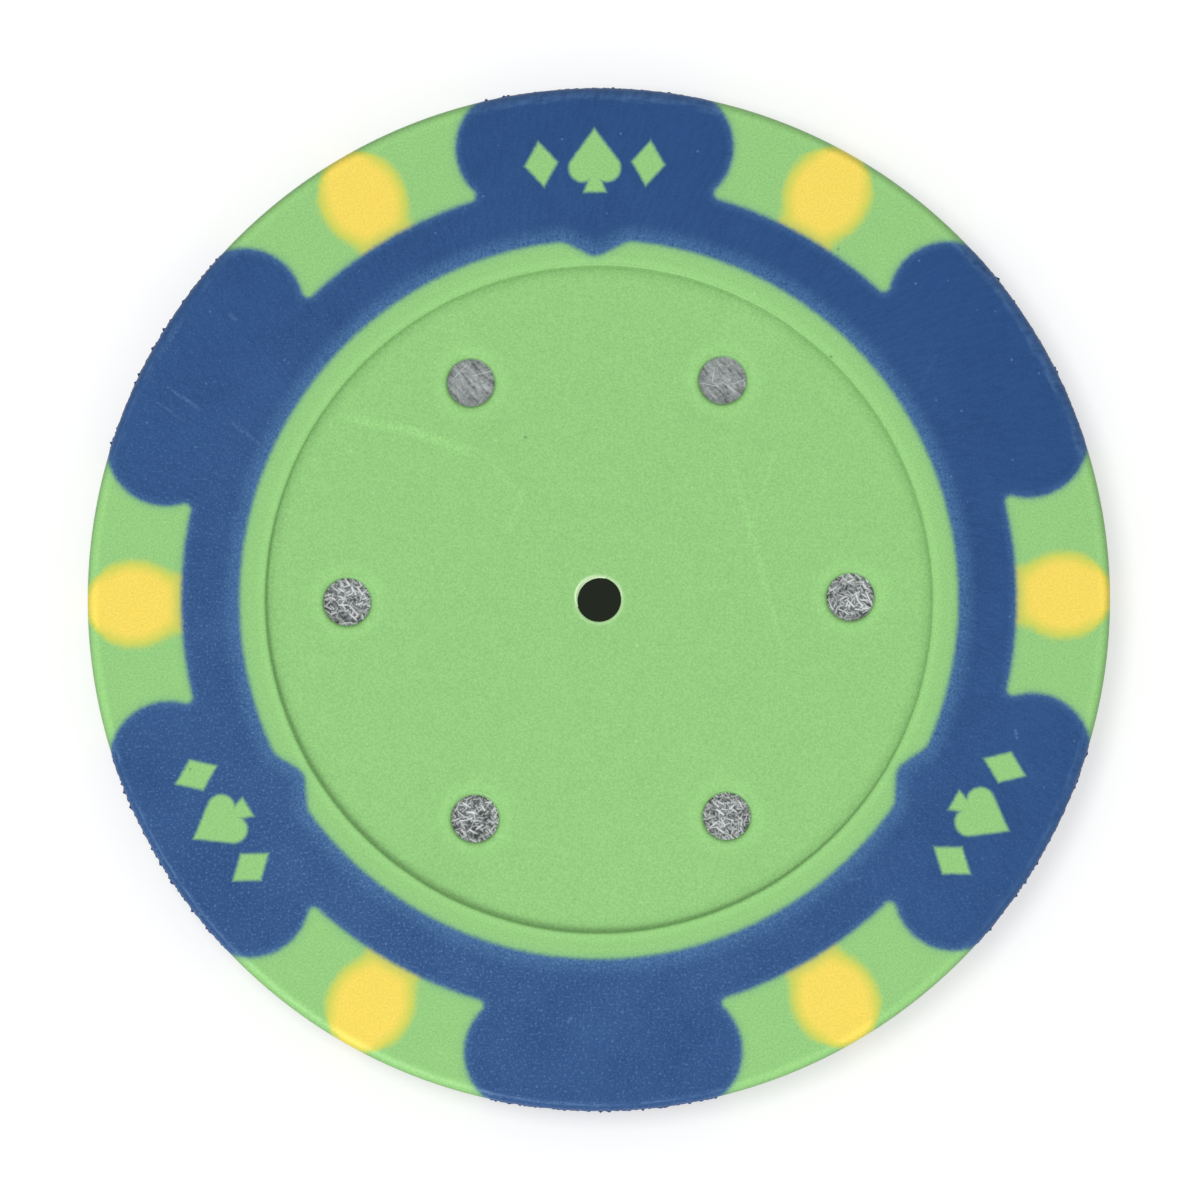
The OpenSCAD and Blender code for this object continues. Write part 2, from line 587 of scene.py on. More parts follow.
class Wire:
    """A shader socket that takes part in Python expressions."""

    def __init__(self, paint: "Paint", socket: bpy.types.NodeSocket) -> None:
        """Wraps a socket.

        Args:
            paint: The material that the socket belongs to.
            socket: An output socket.
        """
        self.paint = paint
        self.socket = socket

    def twin(self, output: int | str) -> "Wire":
        """Another output of the same node."""
        return Wire(self.paint, self.socket.node.outputs[output])

    def math(self, operation: str, *others: Value) -> "Wire":
        """Adds a Math node.

        Args:
            operation: The node's operation.
            others: Its further inputs.

        Returns:
            Its result.
        """
        return self.paint.node("ShaderNodeMath", {"operation": operation}, dict(enumerate((self, *others))))

    def reverse(self, operation: str, other: Value) -> "Wire":
        """Adds a Math node with this wire as its second input."""
        return self.paint.node("ShaderNodeMath", {"operation": operation}, {0: other, 1: self})

    def __add__(self, other: Value) -> "Wire":
        """Sum."""
        return self.math("ADD", other)

    __radd__ = __add__

    def __sub__(self, other: Value) -> "Wire":
        """Difference."""
        return self.math("SUBTRACT", other)

    def __rsub__(self, other: Value) -> "Wire":
        """Difference from a number."""
        return self.reverse("SUBTRACT", other)

    def __mul__(self, other: Value) -> "Wire":
        """Product."""
        return self.math("MULTIPLY", other)

    __rmul__ = __mul__

    def __truediv__(self, other: Value) -> "Wire":
        """Quotient."""
        return self.math("DIVIDE", other)

    def __rtruediv__(self, other: Value) -> "Wire":
        """Quotient of a number."""
        return self.reverse("DIVIDE", other)

    def __neg__(self) -> "Wire":
        """Opposite."""
        return self * -1.0

    def __abs__(self) -> "Wire":
        """Size without the sign."""
        return self.math("ABSOLUTE")

    def __gt__(self, other: Value) -> "Wire":
        """One where it is greater, and zero elsewhere."""
        return self.math("GREATER_THAN", other)

    def least(self, other: Value, soft: float = 0.0) -> "Wire":
        """The smaller of two values.

        Args:
            other: The other value.
            soft: Distance over which the two run into each other.

        Returns:
            The smaller value.
        """
        return self.math("SMOOTH_MIN", other, soft) if soft else self.math("MINIMUM", other)

    def most(self, other: Value) -> "Wire":
        """The greater of two values."""
        return self.math("MAXIMUM", other)

    def rise(self, low: float, high: float) -> "Wire":
        """Goes smoothly from zero to one between two values.

        Args:
            low: Where it is still zero.
            high: Where it reaches one.

        Returns:
            The smooth step.
        """
        return self.paint.node(
            "ShaderNodeMapRange",
            {"interpolation_type": "SMOOTHSTEP"},
            {"Value": self, "From Min": low, "From Max": high},
        )

    def fall(self, low: float, high: float) -> "Wire":
        """Goes smoothly from one to zero between two values."""
        return 1.0 - self.rise(low, high)


def length(x: Wire, y: Wire) -> Wire:
    """Length of a vector of two wires."""
    return (x * x + y * y).math("SQRT")


class Paint:
    """A material, or the world's light, that is being mixed."""

    def __init__(self, owner: bpy.types.Material | bpy.types.World) -> None:
        """Starts with no nodes.

        Args:
            owner: What the nodes belong to.
        """
        owner.use_nodes = True
        self.owner = owner
        self.tree = owner.node_tree
        self.tree.nodes.clear()

    @classmethod
    def material(cls, name: str) -> "Paint":
        """Starts a new material."""
        return cls(bpy.data.materials.new(name))

    @cached_property
    def place(self) -> Wire:
        """The place on the piece, in millimetres."""
        return self.scaled(self.node("ShaderNodeTexCoord", output="Object"), 1 / MM)

    def node(
        self,
        kind: str,
        settings: Mapping[str, Any] | None = None,
        sockets: Mapping[int | str, Any] | None = None,
        output: int | str | None = 0,
    ) -> Wire | None:
        """Adds a node.

        Args:
            kind: The node's type.
            settings: Its own settings, which are set first.
            sockets: Values or wires of its input sockets, by name or number.
            output: Name or number of the output that is wanted, or None where the node has none.

        Returns:
            That output.
        """
        made = self.tree.nodes.new(kind)
        for key, value in (settings or {}).items():
            setattr(made, key, value)
        for key, value in (sockets or {}).items():
            if isinstance(value, Wire):
                self.tree.links.new(value.socket, made.inputs[key])
            else:
                made.inputs[key].default_value = value
        return None if output is None else Wire(self, made.outputs[output])

    def scaled(self, vector: Wire | Colour, factor: Value) -> Wire:
        """Scales a vector or a colour.

        Args:
            vector: The vector or colour.
            factor: The factor.

        Returns:
            The scaled vector.
        """
        first = vector if isinstance(vector, Wire) else tuple(vector[:3])
        return self.node("ShaderNodeVectorMath", {"operation": "SCALE"}, {0: first, "Scale": factor})

    def joined(self, x: Value, y: Value, z: Value) -> Wire:
        """Makes a vector of three values."""
        return self.node("ShaderNodeCombineXYZ", None, {0: x, 1: y, 2: z})

    def mixed(self, factor: Value, first: Wire | Colour, second: Wire | Colour) -> Wire:
        """Mixes two colours.

        Args:
            factor: Share of the second colour.
            first: The first colour.
            second: The second colour.

        Returns:
            The mixed colour.
        """
        return self.node("ShaderNodeMix", {"data_type": "RGBA"}, {0: factor, 6: first, 7: second}, 2)

    def noise(self, layer: "Noise", vector: Wire | None = None) -> Wire:
        """Noise about zero.

        Args:
            layer: What the noise is like.
            vector: Where it is read, if not at the place on the piece.

        Returns:
            The noise, from about -0.5 to 0.5.
        """
        sockets = {
            "Vector": self.place if vector is None else vector,
            "Scale": layer.per_mm,
            "Detail": layer.detail,
            "Roughness": layer.roughness,
        }
        return self.node("ShaderNodeTexNoise", None, sockets) - 0.5

    def seen(self) -> Wire:
        """One for rays that show the background, straight to the camera, mirrored or through glass."""
        camera = self.node("ShaderNodeLightPath", None, None, "Is Camera Ray")
        return camera.most(camera.twin("Is Glossy Ray")).most(camera.twin("Is Transmission Ray"))

    def surface(self, shader: Wire) -> None:
        """Links a shader to the output."""
        of_world = isinstance(self.owner, bpy.types.World)
        kind = "ShaderNodeOutputWorld" if of_world else "ShaderNodeOutputMaterial"
        self.node(kind, None, {"Surface": shader}, None)

    def finish(self, sockets: Mapping[str, Any]) -> bpy.types.Material:
        """Ends the material in a Principled shader.

        Args:
            sockets: Values or wires of the shader's sockets.

        Returns:
            The material.
        """
        self.surface(self.node("ShaderNodeBsdfPrincipled", None, sockets))
        return self.owner


@dataclass(frozen=True)
class Tint:
    """A colour as it looks on a screen, from 0 to 255 in each channel."""

    red: float
    green: float
    blue: float

    def linear(self) -> Colour:
        """The colour in linear light.

        Returns:
            Red, green, blue and an alpha of one.
        """
        shares = [channel / 255 for channel in (self.red, self.green, self.blue)]
        r, g, b = (s / 12.92 if s <= 0.04045 else ((s + 0.055) / 1.055) ** 2.4 for s in shares)
        return r, g, b, 1.0


GREEN = Tint(147, 204, 124)
BLUE = Tint(24, 75, 135)
YELLOW = Tint(248, 221, 92)
LIME = Tint(205, 213, 88)
STAINED_BLUE = Tint(46, 98, 142)


@dataclass(frozen=True)
class Noise:
    """A layer of noise: features for each millimetre, number of finer layers, and the share of those."""

    per_mm: float
    detail: float = 2.0
    roughness: float = 0.5


@dataclass(frozen=True)
class Specks:
    """Small scattered dots, one to a cell; their radius is a share of a cell."""

    per_mm: float
    share: float
    radius: float
    core: float = 0.5

    def mask(self, paint: Paint) -> Wire:
        """Where the dots are.

        Args:
            paint: The material.

        Returns:
            One in the middle of a dot, and zero between the dots.
        """
        sockets = {"Vector": paint.place, "Scale": self.per_mm}
        distance = paint.node("ShaderNodeTexVoronoi", None, sockets, "Distance")
        lot = paint.node("ShaderNodeSeparateColor", None, {0: distance.twin("Color")})
        return distance.fall(self.radius * self.core, self.radius) * (lot > 1 - self.share)


@dataclass(frozen=True)
class Band:
    """A soft band along a border: where it starts, is full, fades and ends, in millimetres past it."""

    start: float
    full: float
    fading: float
    end: float
    strength: float = 1.0

    def mask(self, distance: Wire) -> Wire:
        """Strength of the band at each place.

        Args:
            distance: Distance past the border.

        Returns:
            The strength in the band, and zero away from it.
        """
        return distance.rise(self.start, self.full) * distance.fall(self.fading, self.end) * self.strength


@dataclass(frozen=True)
class ByWearAndLight:
    """An amount that changes from the side with little rub to the side with the most rub, which faces the
    key lamp.
    """

    fresh_and_shaded: float
    worn_and_lit: float

    def at(self, worn_and_lit: Wire) -> Wire:
        """The amount at each place, by its rub and by how far its side faces the key lamp."""
        # Where the amount sets a painted highlight, the side facing the key lamp gets more of it: painted
        # light.
        return worn_and_lit * (self.worn_and_lit - self.fresh_and_shaded) + self.fresh_and_shaded


@dataclass(frozen=True)
class Blend:
    """A level, and how much of each layer of noise is added to it."""

    level: float
    grain: float = 0.0
    streaks: float = 0.0
    flecks: float = 0.0
    patches: float = 0.0
    dashes: float = 0.0

    def of(self, layers: Mapping[str, Wire]) -> Wire:
        """The value at each place.

        Args:
            layers: The layers of noise, by name.

        Returns:
            The level with its share of each layer.
        """
        shares = {name: getattr(self, name) for name in layers}
        return sum((layers[name] * share for name, share in shares.items() if share), self.level)


class FacePattern:
    """Distances from the borders of the chip's colours, in millimetres, worked out in a material."""

    NECK_BLEND = 0.3
    TIP_BLEND = 0.15

    def __init__(self, paint: Paint, sizes: ChipSizes) -> None:
        """Reads the place on the chip.

        Args:
            paint: The material.
            sizes: Sizes of the chip.
        """
        self.paint = paint
        self.sizes = sizes
        self.x = paint.node("ShaderNodeSeparateXYZ", None, {0: paint.place})
        self.y = self.x.twin(1)
        self.radius = length(self.x, self.y)
        self.angle = self.y.math("ARCTAN2", self.x)

    def folded(self, pitch: float, start: float, shift: float = 0.0) -> tuple[Wire, Wire]:
        """Folds the chip onto the nearest of several directions.

        Args:
            pitch: Angle from one direction to the next.
            start: Angle of the first direction.
            shift: Angle from such a direction to a pair of further ones, one on each side.

        Returns:
            Distance along the direction, and distance from it.
        """
        turn = self.angle - start
        turn = turn - (turn / pitch).math("ROUND") * pitch
        if shift:
            turn = abs(turn) - shift
        return self.radius * turn.math("COSINE"), abs(self.radius * turn.math("SINE"))

    def beyond(self, along: Wire, across: Wire, point: Sequence[float], normal: Sequence[float]) -> Wire:
        """Distance past a straight line.

        Args:
            along: Distance along the folded direction.
            across: Distance from the folded direction.
            point: A point of the line.
            normal: Unit vector across the line.

        Returns:
            The distance, positive on the normal's side.
        """
        offset = point[0] * normal[0] + point[1] * normal[1]
        return along * normal[0] + across * normal[1] - offset

    def spot(self) -> Wire:
        """Distance from the border of the yellow spots, negative inside."""
        s = self.sizes
        along, across = self.folded(s.pitch, 0.0)
        reach = s.spot_reach + s.spot_end_r
        oval = (length((along - s.spot_x) / reach, across / s.spot_r) - 1.0) * math.sqrt(reach * s.spot_r)
        neck = (across - s.neck_w / 2).most(along - s.spot_x).most(s.neck_x - along)
        return oval.least(neck, self.NECK_BLEND)

    def pin(self) -> Wire:
        """Distance from the middle of the nearest support pin hole."""
        s = self.sizes
        along, across = self.folded(2 * math.pi / s.pin_count, 0.0)
        return length(along - (s.recess_r - s.pin_inset), across)

    def rounding(self, uneven: Wire, waver: float) -> Wire:
        """Distance past the start of the rim's rounding.

        Args:
            uneven: Noise that makes the distance waver.
            waver: How far it wavers.

        Returns:
            The distance, negative on the flat of the face.
        """
        return self.radius + uneven * waver - (self.sizes.radius - self.sizes.edge_r)

    def outer(self) -> Wire:
        """Distance from the outer border of the ring and its lobes, negative inside."""
        s = self.sizes
        along, across = self.folded(s.pitch, s.pitch / 2)
        lobe, root = Vector(s.lobe_centre), s.lobe_root
        side = length(along - lobe.x, across - lobe.y) - s.lobe_side_r
        middle = (across - lobe.y).most(s.ring_ir - along)
        border = side.least(middle).least(self.radius - s.ring_or)
        to_lobe, to_ring = (lobe - root).normalized(), -root.normalized()
        wedge = self.beyond(along, across, root, (-to_ring.y, to_ring.x)) > 0.0
        wedge = wedge * (self.beyond(along, across, root, (to_lobe.y, -to_lobe.x)) > 0.0)
        rounding = s.root_r - length(along - root.x, across - root.y)
        return border + wedge * (rounding - border)

    def inner(self) -> Wire:
        """Distance from the inner border of the ring and its tips, negative in the ring."""
        s = self.sizes
        along, across = self.folded(s.pip_pitch, s.pip_start)
        touch, direction = s.tip_flank
        flank = self.beyond(along, across, touch, (-direction.y, direction.x))
        nose = length(along - s.nose_centre[0], across) - s.tip_nose_r
        rounded = self.beyond(along, across, touch, -direction) > 0.0
        return (flank + rounded * (nose - flank)).least(s.ring_ir - self.radius, self.TIP_BLEND)

    def pips(self) -> Wire:
        """Distance from the border of the pips, negative inside."""
        s = self.sizes
        along, across = self.folded(s.pip_pitch, s.pip_start)
        along = along - s.pip_x
        (leaf_x, leaf_y), leaf_r = s.spade_leaf
        leaf = length(along - leaf_x, across - leaf_y) - leaf_r
        shoulder = s.spade_shoulder
        side = (shoulder - Vector((leaf_x, leaf_y))).normalized()
        head = self.beyond(along, across, shoulder, side)
        head = head.most(self.beyond(along, across, shoulder, (-side.y, side.x)))
        foot = Vector(s.spade_foot)
        slope = foot.normalized()
        stem = self.beyond(along, across, foot, (slope.y, -slope.x)).most(foot.x - along).most(along)
        spade = leaf.least(head).least(stem)
        along, across = self.folded(s.pip_pitch, s.pip_start, s.pip_step)
        half = Vector((s.diamond_h / 2, s.diamond_w / 2))
        slant = Vector((1 / half.x, 1 / half.y))
        diamond = abs(along - s.pip_x) * (slant.x / slant.length) + across * (slant.y / slant.length)
        return spade.least(diamond - 1 / slant.length)

    def ring(self) -> Wire:
        """Distance from the border of the ring and its lobes, negative inside."""
        return self.outer().most(self.inner())

    def spokes(self, around: float, outwards: float, skew: float = 0.0) -> Wire:
        """A vector for noise that runs outwards in streaks.

        Args:
            around: Features for each millimetre round the chip.
            outwards: Features for each millimetre outwards.
            skew: Millimetres that a streak runs round the chip for each millimetre outwards.

        Returns:
            The vector, without a seam.
        """
        middle = (self.sizes.ring_ir + self.sizes.radius) / 2
        turn = self.angle + (self.radius - middle) * (skew / middle)
        reach = around * middle
        across = turn.math("COSINE") * reach
        along = turn.math("SINE") * reach
        return self.paint.joined(across, along, self.radius * outwards)


@dataclass(frozen=True)
class Scuff:
    """A faint rubbed line on a face between two places, in millimetres; fade is a share of its length."""

    start: Point
    end: Point
    width: float
    strength: float
    fade: float = 0.3

    def mask(self, pattern: FacePattern) -> Wire:
        """Strength of the scuff at each place.

        Args:
            pattern: The place on the chip.

        Returns:
            The mask, from zero to the scuff's strength.
        """
        first, last = Vector(self.start), Vector(self.end)
        along = (last - first).normalized()
        reach = (last - first).length
        run = pattern.x * along.x + pattern.y * along.y - first.dot(along)
        off = abs(pattern.x * -along.y + pattern.y * along.x - first.dot(Vector((-along.y, along.x))))
        ends = Band(0.0, self.fade * reach, (1 - self.fade) * reach, reach, self.strength)
        return off.fall(0.0, self.width) * ends.mask(run)


@dataclass(frozen=True)
class Bleeding:
    """How the three colours run into each other, as spans in millimetres across each border."""

    ragged: Noise = Noise(8.0, 3.0)
    spot_waver: float = 0.25
    neck_waver: float = 0.2
    ring_waver: float = 0.12
    pip_waver: float = 0.08
    lime: Span = (-0.12, 0.3)
    yellow: Span = (-0.55, 0.05)
    neck: Span = (-0.05, 0.7)
    sharp_rim: Span = (-0.9, -0.1)
    sharp_offset: float = 0.02
    sharpening: float = 1.2
    ring_spread: float = 0.045
    ring: Span = (-0.13, 0.13)
    haze: Span = (-0.1, 0.38)
    haze_share: float = 0.2
    pip: Span = (-0.1, 0.1)
    stain: Span = (0.0, 0.5)
    stain_share: float = 0.16


@dataclass(frozen=True)
class MouldedPlastic:
    """Matte plastic, with the neighbouring colours bleeding in along its borders."""

    name: str
    slot: Slot
    roughness: float = 0.46
    specular: float = 0.35
    sheen_patches: Noise = Noise(1.4, 3.0)
    sheen_patch_depth: float = 0.14
    sheen_grain: Noise = Noise(12.0, 1.0)
    sheen_grain_depth: float = 0.1
    bump_depth: float = 0.004
    bump_strength: float = 0.6
    grain: Noise = Noise(13.0, 1.0)
    edge_waver: float = 0.08
    bleeding: Bleeding = Bleeding()

    def body(self, pattern: FacePattern) -> tuple[Wire, Wire]:
        """The plastic's own colour and relief, away from its borders.

        Args:
            pattern: The place on the chip.

        Returns:
            The colour, and the relief in shares of the bump depth.
        """
        raise NotImplementedError

    def bordered(self, pattern: FacePattern, own: Wire) -> Wire:
        """Lets the three colours run into each other along their borders.

        Args:
            pattern: The place on the chip.
            own: The plastic's own colour.

        Returns:
            The colour with its borders.
        """
        paint, s, bleed = pattern.paint, pattern.sizes, self.bleeding
        colours = {
            Slot.GREEN: GREEN.linear(),
            Slot.YELLOW: YELLOW.linear(),
            Slot.BLUE: STAINED_BLUE.linear(),
            self.slot: own,
        }
        waver = paint.noise(bleed.ragged)
        sharp = (pattern.radius - s.radius).rise(*bleed.sharp_rim) * bleed.sharpening
        spot = pattern.spot() + waver * bleed.spot_waver
        spot = spot + (spot + bleed.sharp_offset) * sharp
        from_ring = pattern.radius + waver * bleed.neck_waver - s.ring_or
        lime = spot.fall(*bleed.lime)
        yellow = spot.fall(*bleed.yellow) * from_ring.rise(*bleed.neck)
        ring = pattern.ring() + waver * bleed.ring_waver - bleed.ring_spread
        clear = ring.rise(*bleed.ring) * (1 - bleed.haze_share) + ring.rise(*bleed.haze) * bleed.haze_share
        blue = (1.0 - clear) * (pattern.pips() + waver * bleed.pip_waver).rise(*bleed.pip)
        blue = blue.most(lime * from_ring.fall(*bleed.stain) * bleed.stain_share)
        colour = paint.mixed(lime, colours[Slot.GREEN], LIME.linear())
        colour = paint.mixed(yellow, colour, colours[Slot.YELLOW])
        return paint.mixed(blue, colour, colours[Slot.BLUE])

    def material(self, sizes: ChipSizes) -> bpy.types.Material:
        """Mixes the material.

        Args:
            sizes: Sizes of the chip.

        Returns:
            The material.
        """
        paint = Paint.material(self.name)
        pattern = FacePattern(paint, sizes)
        colour, relief = self.body(pattern)
        sheen = paint.noise(self.sheen_patches) * self.sheen_patch_depth
        sheen = sheen + paint.noise(self.sheen_grain) * self.sheen_grain_depth
        sockets = {"Strength": self.bump_strength, "Distance": self.bump_depth * MM, "Height": relief}
        return paint.finish(
            {
                "Base Color": self.bordered(pattern, colour),
                "Roughness": sheen + self.roughness,
                "Normal": paint.node("ShaderNodeBump", None, sockets),
                "Specular IOR Level": self.specular,
            }
        )


@dataclass(frozen=True)
class CoreGreen(MouldedPlastic):
    """Light green of the core, finely mottled, with specks and faint scuffs.

    The bands past the recess's edge are painted shade in its corner and a painted dark line at the foot of
    its wall, and its lip, lightened by rub and by a painted highlight. Those past a pin hole's edge are
    painted shade in its mouth and a whitened halo round it, which also stands in for the highlight on the
    rounded mouth. The rim's rounding has a painted highlight, and its outermost edge and side a painted
    shade.
    """

    name: str = "core_green"
    slot: Slot = Slot.GREEN
    bloom: float = 0.0
    grain_depth: float = 0.5
    mottle: Noise = Noise(1.1, 3.0)
    mottle_depth: float = 0.05
    light_specks: Specks = Specks(1.3, 0.25, 0.1)
    light_share: float = 0.22
    light_height: float = 0.5
    light_speck: Tint = Tint(214, 246, 196)
    dark_specks: Specks = Specks(0.52, 0.45, 0.045)
    dark_share: float = 0.5
    dark_speck: Tint = Tint(84, 118, 78)
    whitened: Tint = Tint(232, 255, 212)
    whitened_bore: Band = Band(-1.0, -0.9, 0.02, 0.2, 0.3)
    # Painted shade in the recess's corner, a painted dark line at the foot of its wall, and the lip
    # lightened by rub and a painted highlight.
    recess_bands: tuple[Band, ...] = (
        Band(-0.55, 0.0, 0.0, 0.08, -0.12),
        Band(-0.13, -0.05, 0.0, 0.09, -0.08),
        Band(0.07, 0.17, 0.2, 0.5, 0.085),
    )
    pin_waver: float = 0.2
    # Painted shade in a pin hole's mouth, and a whitened halo that also stands in for the highlight on the
    # rounded mouth.
    pin_bands: tuple[Band, ...] = (
        Band(-1.2, -1.1, 0.1, 0.26, -0.03),
        Band(0.12, 0.28, 0.3, 0.8, 0.07),
    )
    # Painted highlight along the rim's rounding.
    rim_highlight: Band = Band(-0.1, 0.15, 0.18, 0.36, 0.12)
    # Painted shade on the rim's outermost edge and its side.
    painted_rim_shade: Band = Band(-0.12, 0.0, 1.0, 1.1, -0.2)
    scuff_grain: float = 2.0
    scuffs: tuple[Scuff, ...] = (
        Scuff((-10.2, 7.15), (-6.2, 6.3), 0.3, 0.13),
        Scuff((-7.6, 6.7), (-4.4, 5.5), 0.3, 0.12),
        Scuff((-4.4, 5.7), (-2.6, 3.6), 0.25, 0.06),
        Scuff((-2.8, 4.3), (-3.6, 2.2), 0.25, 0.05),
        Scuff((4.8, 6.6), (7.3, -3.2), 0.2, 0.08),
        Scuff((6.9, 6.1), (5.4, 1.2), 0.12, 0.06),
        Scuff((-6.0, -8.4), (-1.6, -9.6), 0.14, 0.05),
    )

    def body(self, pattern: FacePattern) -> tuple[Wire, Wire]:
        """Mottled green with specks, scuffs, a whitened bore edge, and painted shade and highlights at its
        edges.

        Args:
            pattern: The place on the chip.

        Returns:
            The colour, and the relief.
        """
        paint = pattern.paint
        grain, mottle = paint.noise(self.grain), paint.noise(self.mottle)
        tone = grain * self.grain_depth + mottle * self.mottle_depth + 1.0 + self.edges(pattern, mottle)
        for scuff in self.scuffs:
            tone = tone + scuff.mask(pattern) * (grain * self.scuff_grain + 1.0)
        colour = paint.scaled(GREEN.linear(), tone)
        light, dark = self.light_specks.mask(paint), self.dark_specks.mask(paint)
        colour = paint.mixed(light * self.light_share, colour, self.light_speck.linear())
        colour = paint.mixed(dark * self.dark_share, colour, self.dark_speck.linear())
        whitened = self.whitened_bore.mask(pattern.radius - pattern.sizes.bore_r)
        colour = paint.mixed(whitened.most(self.bloom), colour, self.whitened.linear())
        return colour, grain + light * self.light_height - dark

    def edges(self, pattern: FacePattern, mottle: Wire) -> Wire:
        """Painted shade and highlights at the recess, the pin holes and the rim, with rub and whitening
        among them.

        Args:
            pattern: The place on the chip.
            mottle: Noise that makes the edges uneven.

        Returns:
            What the edges add to the tone.
        """
        s = pattern.sizes
        past_recess = pattern.radius + mottle * self.edge_waver - s.recess_r
        past_pin = pattern.pin() + mottle * self.pin_waver - s.pin_r
        # Painted highlight on the rim's rounding.
        tone = self.rim_highlight.mask(pattern.rounding(mottle, self.edge_waver))
        # Painted shade on the rim's outermost edge and side.
        tone = tone + self.painted_rim_shade.mask(pattern.radius - s.radius)
        # Painted shade in the recess's corner and at its foot; its lip lightened by rub and a painted
        # highlight.
        for band in self.recess_bands:
            tone = tone + band.mask(past_recess)
        # Painted shade in the pin mouths, and a whitened halo that is partly a painted highlight.
        for band in self.pin_bands:
            tone = tone + band.mask(past_pin)
        return tone


